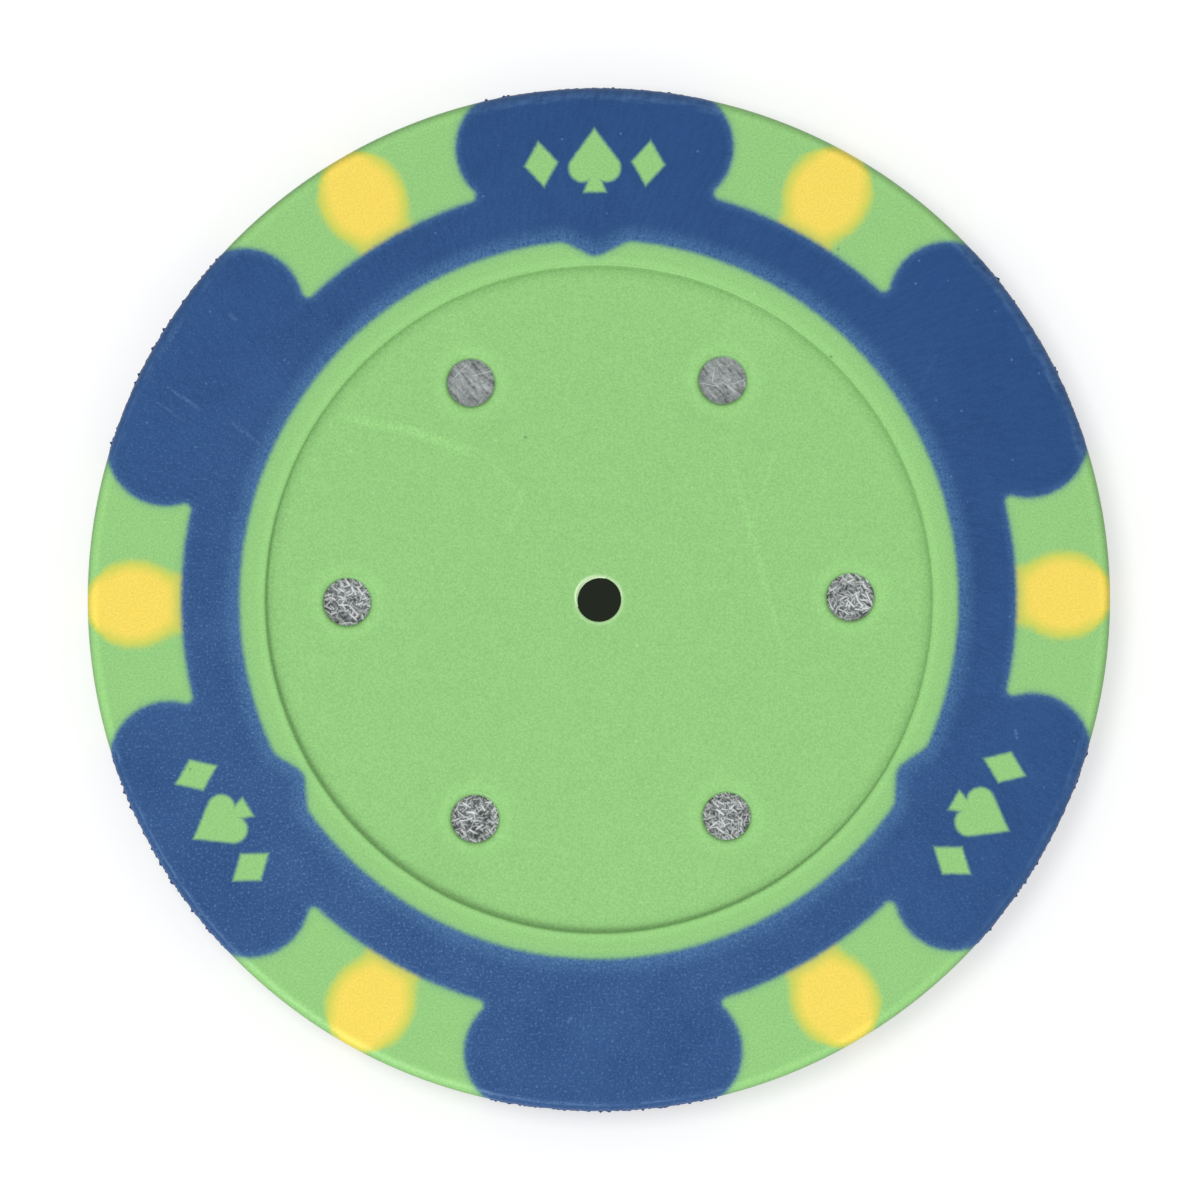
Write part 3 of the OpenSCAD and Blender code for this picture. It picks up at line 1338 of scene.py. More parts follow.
@dataclass(frozen=True)
class EdgeBlue(MouldedPlastic):
    """Dark blue of the edge moulding, with streaks, light flecks and a rim lightened by rub and a painted
    highlight.
    """

    name: str = "edge_blue"
    slot: Slot = Slot.BLUE
    specular: float = 0.25
    # Painted shade: below one it darkens the blue and its lighter marks, as on the flash, which lies in
    # shade.
    shade: float = 1.0
    # Colour of chafing and specks, and also of the painted highlight line on the rim's rounding.
    rub_and_highlight: Tint = Tint(104, 142, 186)
    fuzzy: Tint = Tint(92, 142, 188)
    # The side with the most rub, which also faces the key lamp: amounts set by it are partly painted light.
    worn_and_lit_side: float = math.radians(236)
    streaks: Noise = Noise(1.0, 3.0, 0.65)
    streaks_around: float = 6.0
    streaks_outwards: float = 1.9
    streaks_skew: float = 0.25
    streak_level: ByWearAndLight = ByWearAndLight(0.7, 0.3)
    flecks: Noise = Noise(10.0, 2.0, 0.6)
    fleck_span: Span = (0.02, 0.26)
    fleck_level: ByWearAndLight = ByWearAndLight(1.0, 3.2)
    patches: Noise = Noise(0.4, 2.0)
    tone: Blend = Blend(0.862, grain=0.25, streaks=0.4, patches=0.15)
    chafing: Blend = Blend(0.65, grain=1.5, streaks=2.5, patches=0.9)
    chafe_level: ByWearAndLight = ByWearAndLight(0.03, 0.16)
    inner_chafe: float = 0.025
    inner_chafe_span: Span = (0.75, 3.75)
    fuzzing: Blend = Blend(0.95, grain=1.5, streaks=2.2, flecks=2.6)
    inner_fuzz: ByWearAndLight = ByWearAndLight(0.37, 0.3)
    inner_fuzz_span: Span = (0.0, 0.8)
    outer_fuzz: float = 0.18
    outer_fuzz_span: Span = (0.0, 0.35)
    specks: Specks = Specks(1.7, 0.4, 0.11)
    speck_share: float = 0.45
    relief: Blend = Blend(0.0, grain=1.0, streaks=0.5, flecks=0.5)
    dashes: Noise = Noise(1.0, 4.0, 0.7)
    dashes_around: float = 1.4
    dashes_outwards: float = 5.0
    # A painted highlight line on the rim's rounding, broken into dashes of rub, strongest facing the key
    # lamp.
    line: Band = Band(0.12, 0.19, 0.2, 0.28)
    line_waver: float = 0.25
    line_blend: Blend = Blend(0.5, streaks=1.0, dashes=2.4)
    line_level: ByWearAndLight = ByWearAndLight(0.2, 0.62)
    rim_band: Band = Band(-0.15, 0.15, 0.26, 0.5)
    rim_band_waver: float = 0.4
    rim_band_blend: Blend = Blend(0.6, streaks=2.0, dashes=1.6)
    rim_band_level: ByWearAndLight = ByWearAndLight(0.4, 0.1)
    scuffing: Blend = Blend(1.0, streaks=3.0, flecks=5.0)
    scuffs: tuple[Scuff, ...] = (
        Scuff((-16.9, 8.6), (-14.7, 7.1), 0.16, 0.26),
        Scuff((-14.3, 7.2), (-12.6, 5.8), 0.18, 0.26),
        Scuff((-17.2, 8.0), (-15.4, 6.7), 0.12, 0.2),
        Scuff((-14.1, 11.1), (-13.6, 10.7), 0.12, 0.3),
        Scuff((-17.0, 8.9), (-15.5, 11.3), 0.3, 0.2),
        Scuff((15.8, -5.0), (15.95, -5.6), 0.14, 0.32),
        Scuff((9.2, -10.9), (10.2, -10.6), 0.18, 0.24),
        Scuff((-1.4, -16.2), (-1.1, -15.85), 0.1, 0.5),
        Scuff((12.1, 7.6), (13.2, 9.6), 0.16, 0.1),
    )

    def body(self, pattern: FacePattern) -> tuple[Wire, Wire]:
        """Streaked and flecked blue, lighter along its borders, and on the rim's rounding by rub and a
        painted highlight.

        Args:
            pattern: The place on the chip.

        Returns:
            The colour, and the relief.
        """
        paint = pattern.paint
        # One on the side with the most rub, which also faces the key lamp, and zero opposite.
        worn_and_lit = (pattern.angle - self.worn_and_lit_side).math("COSINE") * 0.5 + 0.5
        spokes = pattern.spokes(self.streaks_around, self.streaks_outwards, self.streaks_skew)
        layers = {
            "grain": paint.noise(self.grain),
            "streaks": paint.noise(self.streaks, spokes) * self.streak_level.at(worn_and_lit),
            "flecks": paint.noise(self.flecks),
            "patches": paint.noise(self.patches),
        }
        # The painted shade darkens the colour; it is one except on the flash.
        colour = paint.scaled(BLUE.linear(), self.tone.of(layers) * self.shade)
        chafed = layers["flecks"].rise(*self.fleck_span) * self.fleck_level.at(worn_and_lit)
        chafed = chafed + self.chafing.of(layers).most(0.0)
        inner = (pattern.radius - pattern.sizes.ring_ir).fall(*self.inner_chafe_span) * self.inner_chafe
        chafed = chafed * (self.chafe_level.at(worn_and_lit) + inner)
        for scuff in self.scuffs:
            chafed = chafed.most(scuff.mask(pattern) * self.scuffing.of(layers))
        fuzz = (-pattern.inner()).fall(*self.inner_fuzz_span) * self.inner_fuzz.at(worn_and_lit)
        fuzz = fuzz + (-pattern.outer()).fall(*self.outer_fuzz_span) * self.outer_fuzz
        fuzz = fuzz * self.fuzzing.of(layers).most(0.0)
        colour = paint.mixed(fuzz * self.shade, colour, self.fuzzy.linear())
        specks = self.specks.mask(paint) * self.speck_share
        # Chafing and specks are rub; the rim's line among them is a painted highlight.
        share = chafed.most(specks).most(self.rim_wear_and_highlight(pattern, layers, worn_and_lit)) * self.shade
        return paint.mixed(share, colour, self.rub_and_highlight.linear()), self.relief.of(layers)

    def rim_wear_and_highlight(self, pattern: FacePattern, layers: Mapping[str, Wire], worn_and_lit: Wire) -> Wire:
        """A painted highlight line in dashes of rub along the rim's rounding, and a wider chafed band
        opposite.

        Args:
            pattern: The place on the chip.
            layers: The layers of noise, by name.
            worn_and_lit: One on the side with the most rub, which faces the key lamp, and zero on the other.

        Returns:
            Share of the colour of rub and painted highlight.
        """
        dashes = pattern.paint.noise(self.dashes, pattern.spokes(self.dashes_around, self.dashes_outwards))
        layers = {**layers, "dashes": dashes}
        # Painted highlight line on the rim's rounding, in dashes of rub, strongest on the side facing the
        # key lamp.
        line = self.line.mask(pattern.rounding(dashes, self.line_waver))
        line = line * self.line_blend.of(layers).most(0.0) * self.line_level.at(worn_and_lit)
        band = self.rim_band.mask(pattern.rounding(dashes, self.rim_band_waver))
        return line.most(band * self.rim_band_blend.of(layers).most(0.0) * self.rim_band_level.at(worn_and_lit))


@dataclass(frozen=True)
class SpotYellow(MouldedPlastic):
    """Warm yellow of the rim plugs, finely mottled, with a painted highlight on the rim's rounding."""

    name: str = "spot_yellow"
    slot: Slot = Slot.YELLOW
    grain_depth: float = 0.34
    mottle: Noise = Noise(1.6, 3.0)
    mottle_depth: float = 0.05
    # Painted highlight along the rim's rounding.
    rim_highlight: Band = Band(-0.1, 0.15, 0.18, 0.36, 0.1)
    deep: Tint = Tint(247, 210, 74)
    deep_span: Span = (0.05, 0.3)
    deep_share: float = 0.25

    def body(self, pattern: FacePattern) -> tuple[Wire, Wire]:
        """Mottled yellow, a little deeper in patches, and lighter on the rim's rounding as a painted
        highlight.

        Args:
            pattern: The place on the chip.

        Returns:
            The colour, and the relief.
        """
        paint = pattern.paint
        grain, mottle = paint.noise(self.grain), paint.noise(self.mottle)
        tone = grain * self.grain_depth + mottle * self.mottle_depth + 1.0
        # Painted highlight on the rim's rounding.
        tone = tone + self.rim_highlight.mask(pattern.rounding(mottle, self.edge_waver))
        colour = paint.scaled(YELLOW.linear(), tone)
        patches = mottle.rise(*self.deep_span) * self.deep_share
        return paint.mixed(patches, colour, self.deep.linear()), grain


@dataclass(frozen=True)
class Scratches:
    """Short straight scratches, one to a cell, that stray either way from the way they lean.

    The body of a scratch is the share of its half length along which it is at its full strength.
    """

    per_mm: float
    half_length: float
    half_width: float
    share: float
    strength: float
    lean: float = 0.0
    stray: float = math.pi
    body: float = 0.6

    def mask(self, paint: Paint) -> Wire:
        """Strength of the scratches at each place.

        Args:
            paint: The material.

        Returns:
            The mask, from zero to the scratches' strength.
        """
        sockets = {"Vector": paint.place, "Scale": self.per_mm}
        cell = paint.node("ShaderNodeTexVoronoi", {"voronoi_dimensions": "2D"}, sockets, "Color")
        lot = paint.node("ShaderNodeSeparateColor", None, {0: cell})
        turn = (lot.twin(1) * 2.0 - 1.0) * self.stray + self.lean
        sockets = {0: paint.place, 1: cell.twin("Position")}
        offset = paint.node("ShaderNodeVectorMath", {"operation": "SUBTRACT"}, sockets)
        x = paint.node("ShaderNodeSeparateXYZ", None, {0: offset})
        y = x.twin(1)
        cosine, sine = turn.math("COSINE"), turn.math("SINE")
        along, across = abs(x * cosine + y * sine), abs(y * cosine - x * sine)
        line = along.fall(self.half_length * self.body, self.half_length) * across.fall(0.0, self.half_width)
        return line * (lot > 1 - self.share) * self.strength


@dataclass(frozen=True)
class SlugSteel:
    """Bare steel of the weight slug, ground one way, and tumbled rough towards its -Y side."""

    name: str = "slug_steel"
    base: Tint = Tint(146, 152, 152)
    bright: Tint = Tint(246, 248, 250)
    level: float = 0.97
    darkest: float = 0.25
    roughness: float = 0.42
    roughness_grain: float = 0.2
    bump_depth: float = 0.006
    bump_strength: float = 0.4
    grinding: float = math.radians(-48)
    grinding_along: float = 1.5
    grinding_across: float = 8.0
    ground: Noise = Noise(1.0, 2.0)
    ground_depth: float = 1.7
    grain: Noise = Noise(9.0, 2.0, 0.6)
    patches: Noise = Noise(2.2, 1.0)
    patch_depth: float = 0.8
    tumbled_span: Span = (3.0, 7.5)
    least_tumbled: float = 0.2
    tumbled_dark: float = 0.4
    glint_patches: float = 2.0
    least_glint: float = 0.3
    glint_share: float = 0.9
    glint_height: float = 0.4
    scratches: Scratches = Scratches(1.1, 0.5, 0.024, 0.8, 0.45)
    strokes: tuple[Scratches, ...] = (
        Scratches(2.9, 0.24, 0.05, 0.85, 0.75, math.radians(-20), 1.1),
        Scratches(4.3, 0.17, 0.045, 0.85, 0.55, math.radians(10), 1.3),
        Scratches(6.1, 0.12, 0.04, 0.8, 0.4),
    )

    def material(self) -> bpy.types.Material:
        """Mixes the material.

        Returns:
            The material.
        """
        paint = Paint.material(self.name)
        y = paint.node("ShaderNodeSeparateXYZ", None, {0: paint.place}).twin(1)
        tumbled = y.fall(*self.tumbled_span) * (1 - self.least_tumbled) + self.least_tumbled
        grain, patches = paint.noise(self.grain), paint.noise(self.patches)
        glints = self.strokes[0].mask(paint)
        for layer in self.strokes[1:]:
            glints = glints.most(layer.mask(paint))
        glints = glints * (patches * self.glint_patches + 1.0).most(self.least_glint) * tumbled
        sockets = {
            "Vector": paint.place,
            "Rotation": (0, 0, self.grinding),
            "Scale": (1 / self.grinding_along, 1 / self.grinding_across, 1),
        }
        stretched = paint.node("ShaderNodeMapping", {"vector_type": "TEXTURE"}, sockets)
        ground = paint.noise(self.ground, stretched)
        lines = self.scratches.mask(paint)
        tone = ground * self.ground_depth + grain * (tumbled + 1.0) + self.level
        tone = tone + (patches * self.patch_depth - self.tumbled_dark) * tumbled
        colour = paint.scaled(self.base.linear(), tone.most(self.darkest))
        colour = paint.mixed((glints * self.glint_share).most(lines), colour, self.bright.linear())
        relief = ground + grain + glints * self.glint_height + lines
        sockets = {"Strength": self.bump_strength, "Distance": self.bump_depth * MM, "Height": relief}
        return paint.finish(
            {
                "Base Color": colour,
                "Metallic": 1.0,
                "Roughness": grain * self.roughness_grain + self.roughness,
                "Normal": paint.node("ShaderNodeBump", None, sockets),
            }
        )


@dataclass(frozen=True)
class Blank:
    """The whole form of the chip: rounded rim, label recesses with rounded lips, and the middle hole."""

    sizes: ChipSizes
    sides: int = 360
    edge_segments: int = 14
    lip_segments: int = 7
    foot_segments: int = 4

    def build(self) -> Workpiece:
        """Models the blank from a cylinder by inset, extrusion, bevels and a bridge.

        Returns:
            The blank.
        """
        s = self.sizes
        floor, ceiling = s.recess_depth, s.thickness - s.recess_depth
        piece = Workpiece.cylinder("blank", s.radius, 0, s.thickness, self.sides)
        piece.pick_caps(0, s.thickness)
        piece.inset(s.radius - s.recess_r)
        piece.pick_caps(0)
        piece.extrude((0, 0, s.recess_depth))
        piece.pick_caps(s.thickness)
        piece.extrude((0, 0, -s.recess_depth))
        piece.pick_caps(floor, ceiling)
        piece.inset(s.recess_r - s.bore_r)
        bpy.ops.mesh.bridge_edge_loops()
        for radius, heights, width, segments in (
            (s.radius, (0, s.thickness), s.edge_r, self.edge_segments),
            (s.recess_r, (0, s.thickness), s.recess_lip_r, self.lip_segments),
            (s.recess_r, (floor, ceiling), s.recess_foot_r, self.foot_segments),
            (s.bore_r, (floor, ceiling), s.bore_lip_r, self.foot_segments),
        ):
            piece.pick_rings(radius, *heights)
            piece.bevel(width, segments)
        piece.leave()
        return piece


@dataclass(frozen=True)
class Zones:
    """Cutting forms that part the blank into its colours."""

    sizes: ChipSizes
    step: float = 0.1
    over: float = 1.0
    sides: int = 360

    @property
    def low(self) -> float:
        """Height below the chip where a cutting form starts."""
        return -self.over

    @property
    def high(self) -> float:
        """Height above the chip where a cutting form ends."""
        return self.sizes.thickness + self.over

    def lobed_outline(self) -> list[Point]:
        """Outer outline of the ring with its lobes, run out past the rim.

        Returns:
            The outline, anticlockwise.
        """
        s = self.sizes
        lobe, root = Vector(s.lobe_centre), s.lobe_root
        from_lobe, from_root = root - lobe, lobe - root
        side_end = math.atan2(from_lobe.y, from_lobe.x)
        root_start = math.atan2(from_root.y, from_root.x)
        root_end = math.atan2(-root.y, -root.x)
        ring_start = math.atan2(root.y, root.x)
        upper = [(s.radius + self.over, lobe.y)]
        upper += arc(tuple(lobe), s.lobe_side_r, 0, side_end, self.step)
        upper += arc(tuple(root), s.root_r, root_start, root_end, self.step / 3)
        gap = arc((0, 0), s.ring_or, ring_start, s.pitch - ring_start, self.step)
        period = both_sides(upper) + gap
        return [p for i in range(s.lobe_count) for p in turned(period, (i + 0.5) * s.pitch)]

    def tipped_outline(self) -> list[Point]:
        """Inner outline of the ring with its tips.

        Returns:
            The outline, anticlockwise.
        """
        s = self.sizes
        touch, flank = s.tip_flank
        outward = Vector((-flank.y, flank.x))
        start = Vector(s.tip_base) + s.tip_root_r * outward
        run = start.dot(flank)
        leave = math.sqrt(run**2 - start.length_squared + (s.ring_ir - s.tip_root_r) ** 2) - run
        root = start + leave * flank
        nose = Vector(s.nose_centre)
        root_end = math.atan2(root.y, root.x)
        nose_end = math.atan2(touch.y - nose.y, touch.x - nose.x)
        upper = arc(tuple(nose), s.tip_nose_r, math.pi, nose_end, self.step / 3)
        upper += arc(tuple(root), s.tip_root_r, math.atan2(-outward.y, -outward.x), root_end, self.step)
        gap = arc((0, 0), s.ring_ir, root_end, s.pip_pitch - root_end, self.step)
        period = both_sides(upper) + gap
        count = s.lobe_count // 2
        return [p for i in range(count) for p in turned(period, s.pip_start + i * s.pip_pitch)]

    def spade_outline(self) -> list[Point]:
        """Outline of a spade with its point along +X, round the middle of the pip.

        Returns:
            The outline, anticlockwise.
        """
        s = self.sizes
        centre, radius = s.spade_leaf
        leaf, shoulder, foot = Vector(centre), s.spade_shoulder, Vector(s.spade_foot)
        slope = foot.normalized()
        run = leaf.dot(slope)
        meet = slope * (run + math.sqrt(run**2 - leaf.length_squared + radius**2))
        first = math.atan2(shoulder.y - leaf.y, shoulder.x - leaf.x)
        last = math.atan2(meet.y - leaf.y, meet.x - leaf.x) % (2 * math.pi)
        upper = [(s.spade_h / 2, 0.0), *arc(centre, radius, first, last, self.step / 2), tuple(foot)]
        return upper + [(x, -y) for x, y in reversed(upper)]

    def diamond_outline(self) -> list[Point]:
        """Outline of a diamond round the middle of the pip."""
        tall, wide = self.sizes.diamond_h / 2, self.sizes.diamond_w / 2
        return [(tall, 0), (0, wide), (-tall, 0), (0, -wide)]

    def pips(self) -> Workpiece:
        """All the pips as one cutting form.

        Returns:
            The form.
        """
        s = self.sizes
        spade = Workpiece.prism("spade", self.spade_outline(), self.low, self.high)
        diamond = Workpiece.prism("diamond", self.diamond_outline(), self.low, self.high)
        copies = []
        for i in range(s.lobe_count // 2):
            angle = s.pip_start + i * s.pip_pitch
            copies.append(spade.copy("pip", angle, s.pip_x))
            copies += [diamond.copy("pip", angle + side * s.pip_step, s.pip_x) for side in (-1, 1)]
        spade.discard()
        diamond.discard()
        return copies[0].joined(*copies[1:])

    def ring(self) -> Workpiece:
        """The space of the blue plastic, with the web of the core left out of its middle.

        Returns:
            The form.
        """
        s = self.sizes
        zone = Workpiece.prism("ring_zone", self.lobed_outline(), self.low, self.high)
        below, above = self.low - self.over, self.high + self.over
        hole = Workpiece.prism("ring_hole", self.tipped_outline(), below, above)
        web_r, web_low = s.radius - s.lobe_rim_wall, s.ring_depth
        web = Workpiece.cylinder("web", web_r, web_low, s.thickness - web_low, self.sides)
        pips = self.pips()
        for tool in (hole, web, pips):
            zone.cut(tool)
            tool.discard()
        return zone

    def spot(self) -> Workpiece:
        """The space of the yellow spot on the X axis, with its neck.

        Returns:
            The form.
        """
        s = self.sizes
        half, reach = s.neck_w / 2, s.spot_reach
        x = (reach**2 + s.spot_r**2 - s.spot_end_r**2) / (2 * reach)
        y = math.sqrt(s.spot_r**2 - x**2)
        upper = arc((s.spot_x + reach, 0), s.spot_end_r, 0, math.atan2(y, x - reach), self.step)
        upper += arc((s.spot_x, 0), s.spot_r, math.atan2(y, x), math.atan2(y, -x), self.step)
        neck = math.pi - math.asin(half / s.spot_end_r)
        upper += arc((s.spot_x - reach, 0), s.spot_end_r, math.atan2(y, reach - x), neck, self.step)
        return Workpiece.prism("spot_zone", both_sides([*upper, (s.neck_x, half)]), self.low, self.high)


@dataclass(frozen=True)
class CoreMoulding:
    """The green core: skins, recesses, bush, web, rim fields and pips, moulded round the slug."""

    sizes: ChipSizes
    slug_hole_r: float = 1.8
    slug_chamfer: float = 0.15
    slug_sides: int = 360
    pin_sides: int = 72
    lip_segments: int = 6

    def slug_space(self) -> Workpiece:
        """The space that the slug fills.

        Returns:
            The cutting form.
        """
        s = self.sizes
        space = Workpiece.cylinder("slug_space", s.slug_radius, s.slug_low, s.slug_high, self.slug_sides)
        space.pick_caps(s.slug_low, s.slug_high)
        space.inset(s.slug_radius - self.slug_hole_r)
        bpy.ops.mesh.bridge_edge_loops()
        space.pick_rings(s.slug_radius, s.slug_low, s.slug_high)
        space.bevel(self.slug_chamfer, 1)
        space.leave()
        return space

    def pin_holes(self) -> Workpiece:
        """The holes that the slug's support pins left, with rounded mouths in both recesses.

        Returns:
            The cutting form.
        """
        s = self.sizes
        depth = s.recess_depth + s.pin_lip_r
        pin = Workpiece.cylinder("pin_hole", s.pin_r, s.slug_low, s.slug_high, self.pin_sides)
        quarter = math.pi / 2 / self.lip_segments
        wall = s.pin_r + s.pin_taper
        for side, start, end in ((1, s.slug_high, s.thickness - depth), (-1, s.slug_low, depth)):
            rings = [(end, wall)]
            for i in range(1, self.lip_segments + 1):
                rise, spread = math.sin(i * quarter), 1 - math.cos(i * quarter)
                rings.append((end + side * s.pin_lip_r * rise, wall + s.pin_lip_r * spread))
            rings.append((rings[-1][0] + side, rings[-1][1]))
            height, radius = start, s.pin_r
            for level, wide in rings:
                pin.pick_caps(height)
                pin.extrude((0, 0, level - height), wide / radius)
                height, radius = level, wide
        pin.leave()
        circle = s.recess_r - s.pin_inset
        copies = [pin.copy("pin_hole", i * 2 * math.pi / s.pin_count, circle) for i in range(s.pin_count)]
        pin.discard()
        return copies[0].joined(*copies[1:])

    def build(self, blank: Workpiece, ring: Workpiece, spot: Workpiece, finish: bpy.types.Material) -> None:
        """Parts the core from the blank.

        Args:
            blank: The whole form of the chip.
            ring: The space of the blue plastic.
            spot: The space of one yellow spot.
            finish: The green finish.
        """
        s = self.sizes
        spots = [spot.copy("spots", i * s.pitch) for i in range(s.lobe_count)]
        core = blank.copy("core_moulding")
        for tool in (spots[0].joined(*spots[1:]), self.slug_space(), self.pin_holes()):
            core.cut(tool)
            tool.discard()
        core.cut(ring)
        core.finish(finish, Slot.GREEN, "core_body")


@dataclass(frozen=True)
class BurrArc:
    """Where a burr stands round the middle hole, and how far it spreads."""

    start: float
    end: float
    spread: float
    overhang: float


@dataclass(frozen=True)
class BoreBurrs:
    """Thin whitened burrs that stand round the middle hole on each face."""

    sizes: ChipSizes
    arcs: tuple[BurrArc, ...] = (
        BurrArc(math.radians(72), math.radians(198), 0.1, 0.05),
        BurrArc(math.radians(6), math.radians(58), 0.07, 0.0),
    )
    height: float = 0.045
    sink: float = 0.02
    steps: int = 40
    end_share: float = 0.05
    end_spread: float = 0.2
    swell_power: float = 0.7

    def build(self, finish: bpy.types.Material) -> None:
        """Models the burrs of the front face and mirrors them to the back.

        Args:
            finish: The burrs' finish.
        """
        for number, place in enumerate(self.arcs, 1):
            self.burr(f"bore_burr_{number}", place, False).finish(finish, Slot.GREEN)
            self.burr(f"bore_burr_{number + len(self.arcs)}", place, True).finish(finish, Slot.GREEN)

    def burr(self, name: str, place: BurrArc, back: bool) -> Workpiece:
        """Models one burr by spinning a small wedge and drawing its ends in.

        Args:
            name: Name of the piece.
            place: Where it stands.
            back: Whether it stands on the back face.

        Returns:
            The burr.
        """
        s = self.sizes
        start, end = place.start, place.end
        level = s.thickness - s.recess_depth
        foot = s.bore_r + s.bore_lip_r
        section = (
            (s.bore_r - place.overhang, -self.sink - s.bore_lip_r),
            (s.bore_r + s.bore_lip_r / 2, self.height),
            (foot + place.spread, -self.sink),
        )
        bpy.ops.object.select_all(action="DESELECT")
        bpy.ops.mesh.primitive_circle_add(vertices=len(section), radius=1, fill_type="NGON")
        piece = Workpiece(bpy.context.object, name)
        c, sn = math.cos(start), math.sin(start)
        for vertex, (radius, height) in zip(piece.body.data.vertices, section):
            vertex.co = (radius * c, radius * sn, level + height)
        piece.pick(Pick.FACES, lambda middle, normal: True)
        bpy.ops.mesh.spin(steps=self.steps, angle=start - end, center=(0, 0, 0), axis=(0, 0, 1))
        bpy.ops.mesh.select_all(action="SELECT")
        bpy.ops.mesh.remove_doubles(threshold=SAME_POINT)
        piece.leave()
        for vertex in piece.body.data.vertices:
            x, y, z = vertex.co
            run = (math.atan2(y, x) - start) % (2 * math.pi) / (end - start)
            swell = max(self.end_share, math.sin(math.pi * min(run, 1.0))) ** self.swell_power
            spread = self.end_spread + (1 - self.end_spread) * swell
            radius = s.bore_r + (math.hypot(x, y) - s.bore_r) * spread
            turn = math.atan2(y, x)
            height = level - self.sink + (z - level + self.sink) * swell
            if back:
                height = s.thickness - height
            vertex.co = (radius * math.cos(turn), radius * math.sin(turn), height)
        piece.pick(Pick.FACES, lambda middle, normal: True)
        bpy.ops.mesh.normals_make_consistent(inside=False)
        piece.leave()
        return piece


@dataclass(frozen=True)
class EdgeMoulding:
    """The blue edge moulding: a ring let into each face and the lobes that join the two over the rim."""

    sizes: ChipSizes
    flash_seed: int = 11
    flash_step: float = 0.085
    flash_root: float = 0.1
    flash_root_t: float = 0.3
    flash_tip_t: float = 0.05
    flash_end_gap: float = math.radians(0.3)
    heavy_side: float = math.radians(230)
    heavy_mean: float = 0.65
    heavy_swing: float = 0.3
    jag: float = 0.085
    jag_shape: Span = (1.2, 3)
    hair: float = 0.11
    hair_least: float = 0.4
    hairs: float = 0.12

    def build(
        self, blank: Workpiece, ring: Workpiece, finish: bpy.types.Material, shaded_flash_finish: bpy.types.Material
    ) -> None:
        """Parts the ring and its lobes from the blank and adds the flash at the rim.

        Args:
            blank: The whole form of the chip.
            ring: The space of the blue plastic.
            finish: The blue finish.
            shaded_flash_finish: The blue finish, darkened as painted shade for the flash.
        """
        edge = blank.copy("edge_moulding")
        edge.cut(ring, Cut.COMMON)
        edge.finish(finish, Slot.BLUE, "edge_ring")
        draws = random.Random(self.flash_seed)
        for i in range(self.sizes.lobe_count):
            self.flash(i, draws).finish(shaded_flash_finish, Slot.BLUE)

    @property
    def lobe_half_angle(self) -> float:
        """Half of the angle that a lobe takes up at the rim."""
        s = self.sizes
        x, y = s.lobe_centre
        reach = math.hypot(x, y)
        along = (s.radius**2 - s.lobe_side_r**2 + reach**2) / (2 * reach)
        return math.atan2(y, x) + math.acos(along / s.radius)

    def flash(self, number: int, draws: random.Random) -> Workpiece:
        """Models the ragged fin of flash along one lobe's rim.

        Args:
            number: Number of the lobe.
            draws: Source of the fin's uneven height.

        Returns:
            The fin.
        """
        s = self.sizes
        half = self.lobe_half_angle - self.flash_end_gap
        middle = (number + 0.5) * s.pitch
        steps = round(2 * half * s.radius / self.flash_step)
        bpy.ops.object.select_all(action="DESELECT")
        bpy.ops.mesh.primitive_plane_add(size=1)
        fin = Workpiece(bpy.context.object, f"rim_flash_{number + 1}")
        level = s.thickness / 2
        section = (
            (s.radius - self.flash_root, level - self.flash_root_t / 2),
            (s.radius - self.flash_root, level + self.flash_root_t / 2),
            (s.radius, level - self.flash_tip_t / 2),
            (s.radius, level + self.flash_tip_t / 2),
        )
        c, sn = math.cos(middle - half), math.sin(middle - half)
        order = sorted(fin.body.data.vertices, key=lambda vertex: (vertex.co.x, vertex.co.y))
        for vertex, (radius, height) in zip(order, section):
            vertex.co = (radius * c, radius * sn, height)
        fin.pick(Pick.FACES, lambda place, normal: True)
        bpy.ops.mesh.spin(steps=steps, angle=-2 * half, center=(0, 0, 0), axis=(0, 0, 1))
        bpy.ops.mesh.select_all(action="SELECT")
        bpy.ops.mesh.remove_doubles(threshold=SAME_POINT)
        bpy.ops.mesh.normals_make_consistent(inside=False)
        fin.leave()
        heavy = self.heavy_mean + self.heavy_swing * math.cos(middle - self.heavy_side)
        heights = [heavy * self.jag * draws.betavariate(*self.jag_shape) for _ in range(steps + 1)]
        for hair in draws.sample(range(1, steps), round(steps * heavy * self.hairs)):
            heights[hair] = self.hair * draws.uniform(self.hair_least, 1.0)
        heights[0] = heights[-1] = 0.0
        for vertex in fin.body.data.vertices:
            x, y, z = vertex.co
            if math.hypot(x, y) > s.radius - self.flash_root / 2:
                turn = (math.atan2(y, x) - middle + math.pi) % (2 * math.pi) - math.pi
                step = round((turn + half) / (2 * half) * steps)
                grow = 1 + heights[step] / s.radius
                vertex.co = (x * grow, y * grow, z)
        return fin


@dataclass(frozen=True)
class RimPlugs:
    """The six yellow plugs that stand through the rim, each with a neck under the ring."""

    sizes: ChipSizes

    def build(self, blank: Workpiece, ring: Workpiece, spot: Workpiece, finish: bpy.types.Material) -> None:
        """Parts one plug from the blank and copies it round the rim.

        Args:
            blank: The whole form of the chip.
            ring: The space of the blue plastic.
            spot: The space of the spot on the X axis.
            finish: The yellow finish.
        """
        s = self.sizes
        first = blank.copy("plug")
        first.cut(spot, Cut.COMMON)
        first.cut(ring)
        for i in range(s.lobe_count):
            first.copy(f"rim_plug_{i + 1}", i * s.pitch).finish(finish, Slot.YELLOW, f"rim_spot_{i + 1}")
        first.discard()


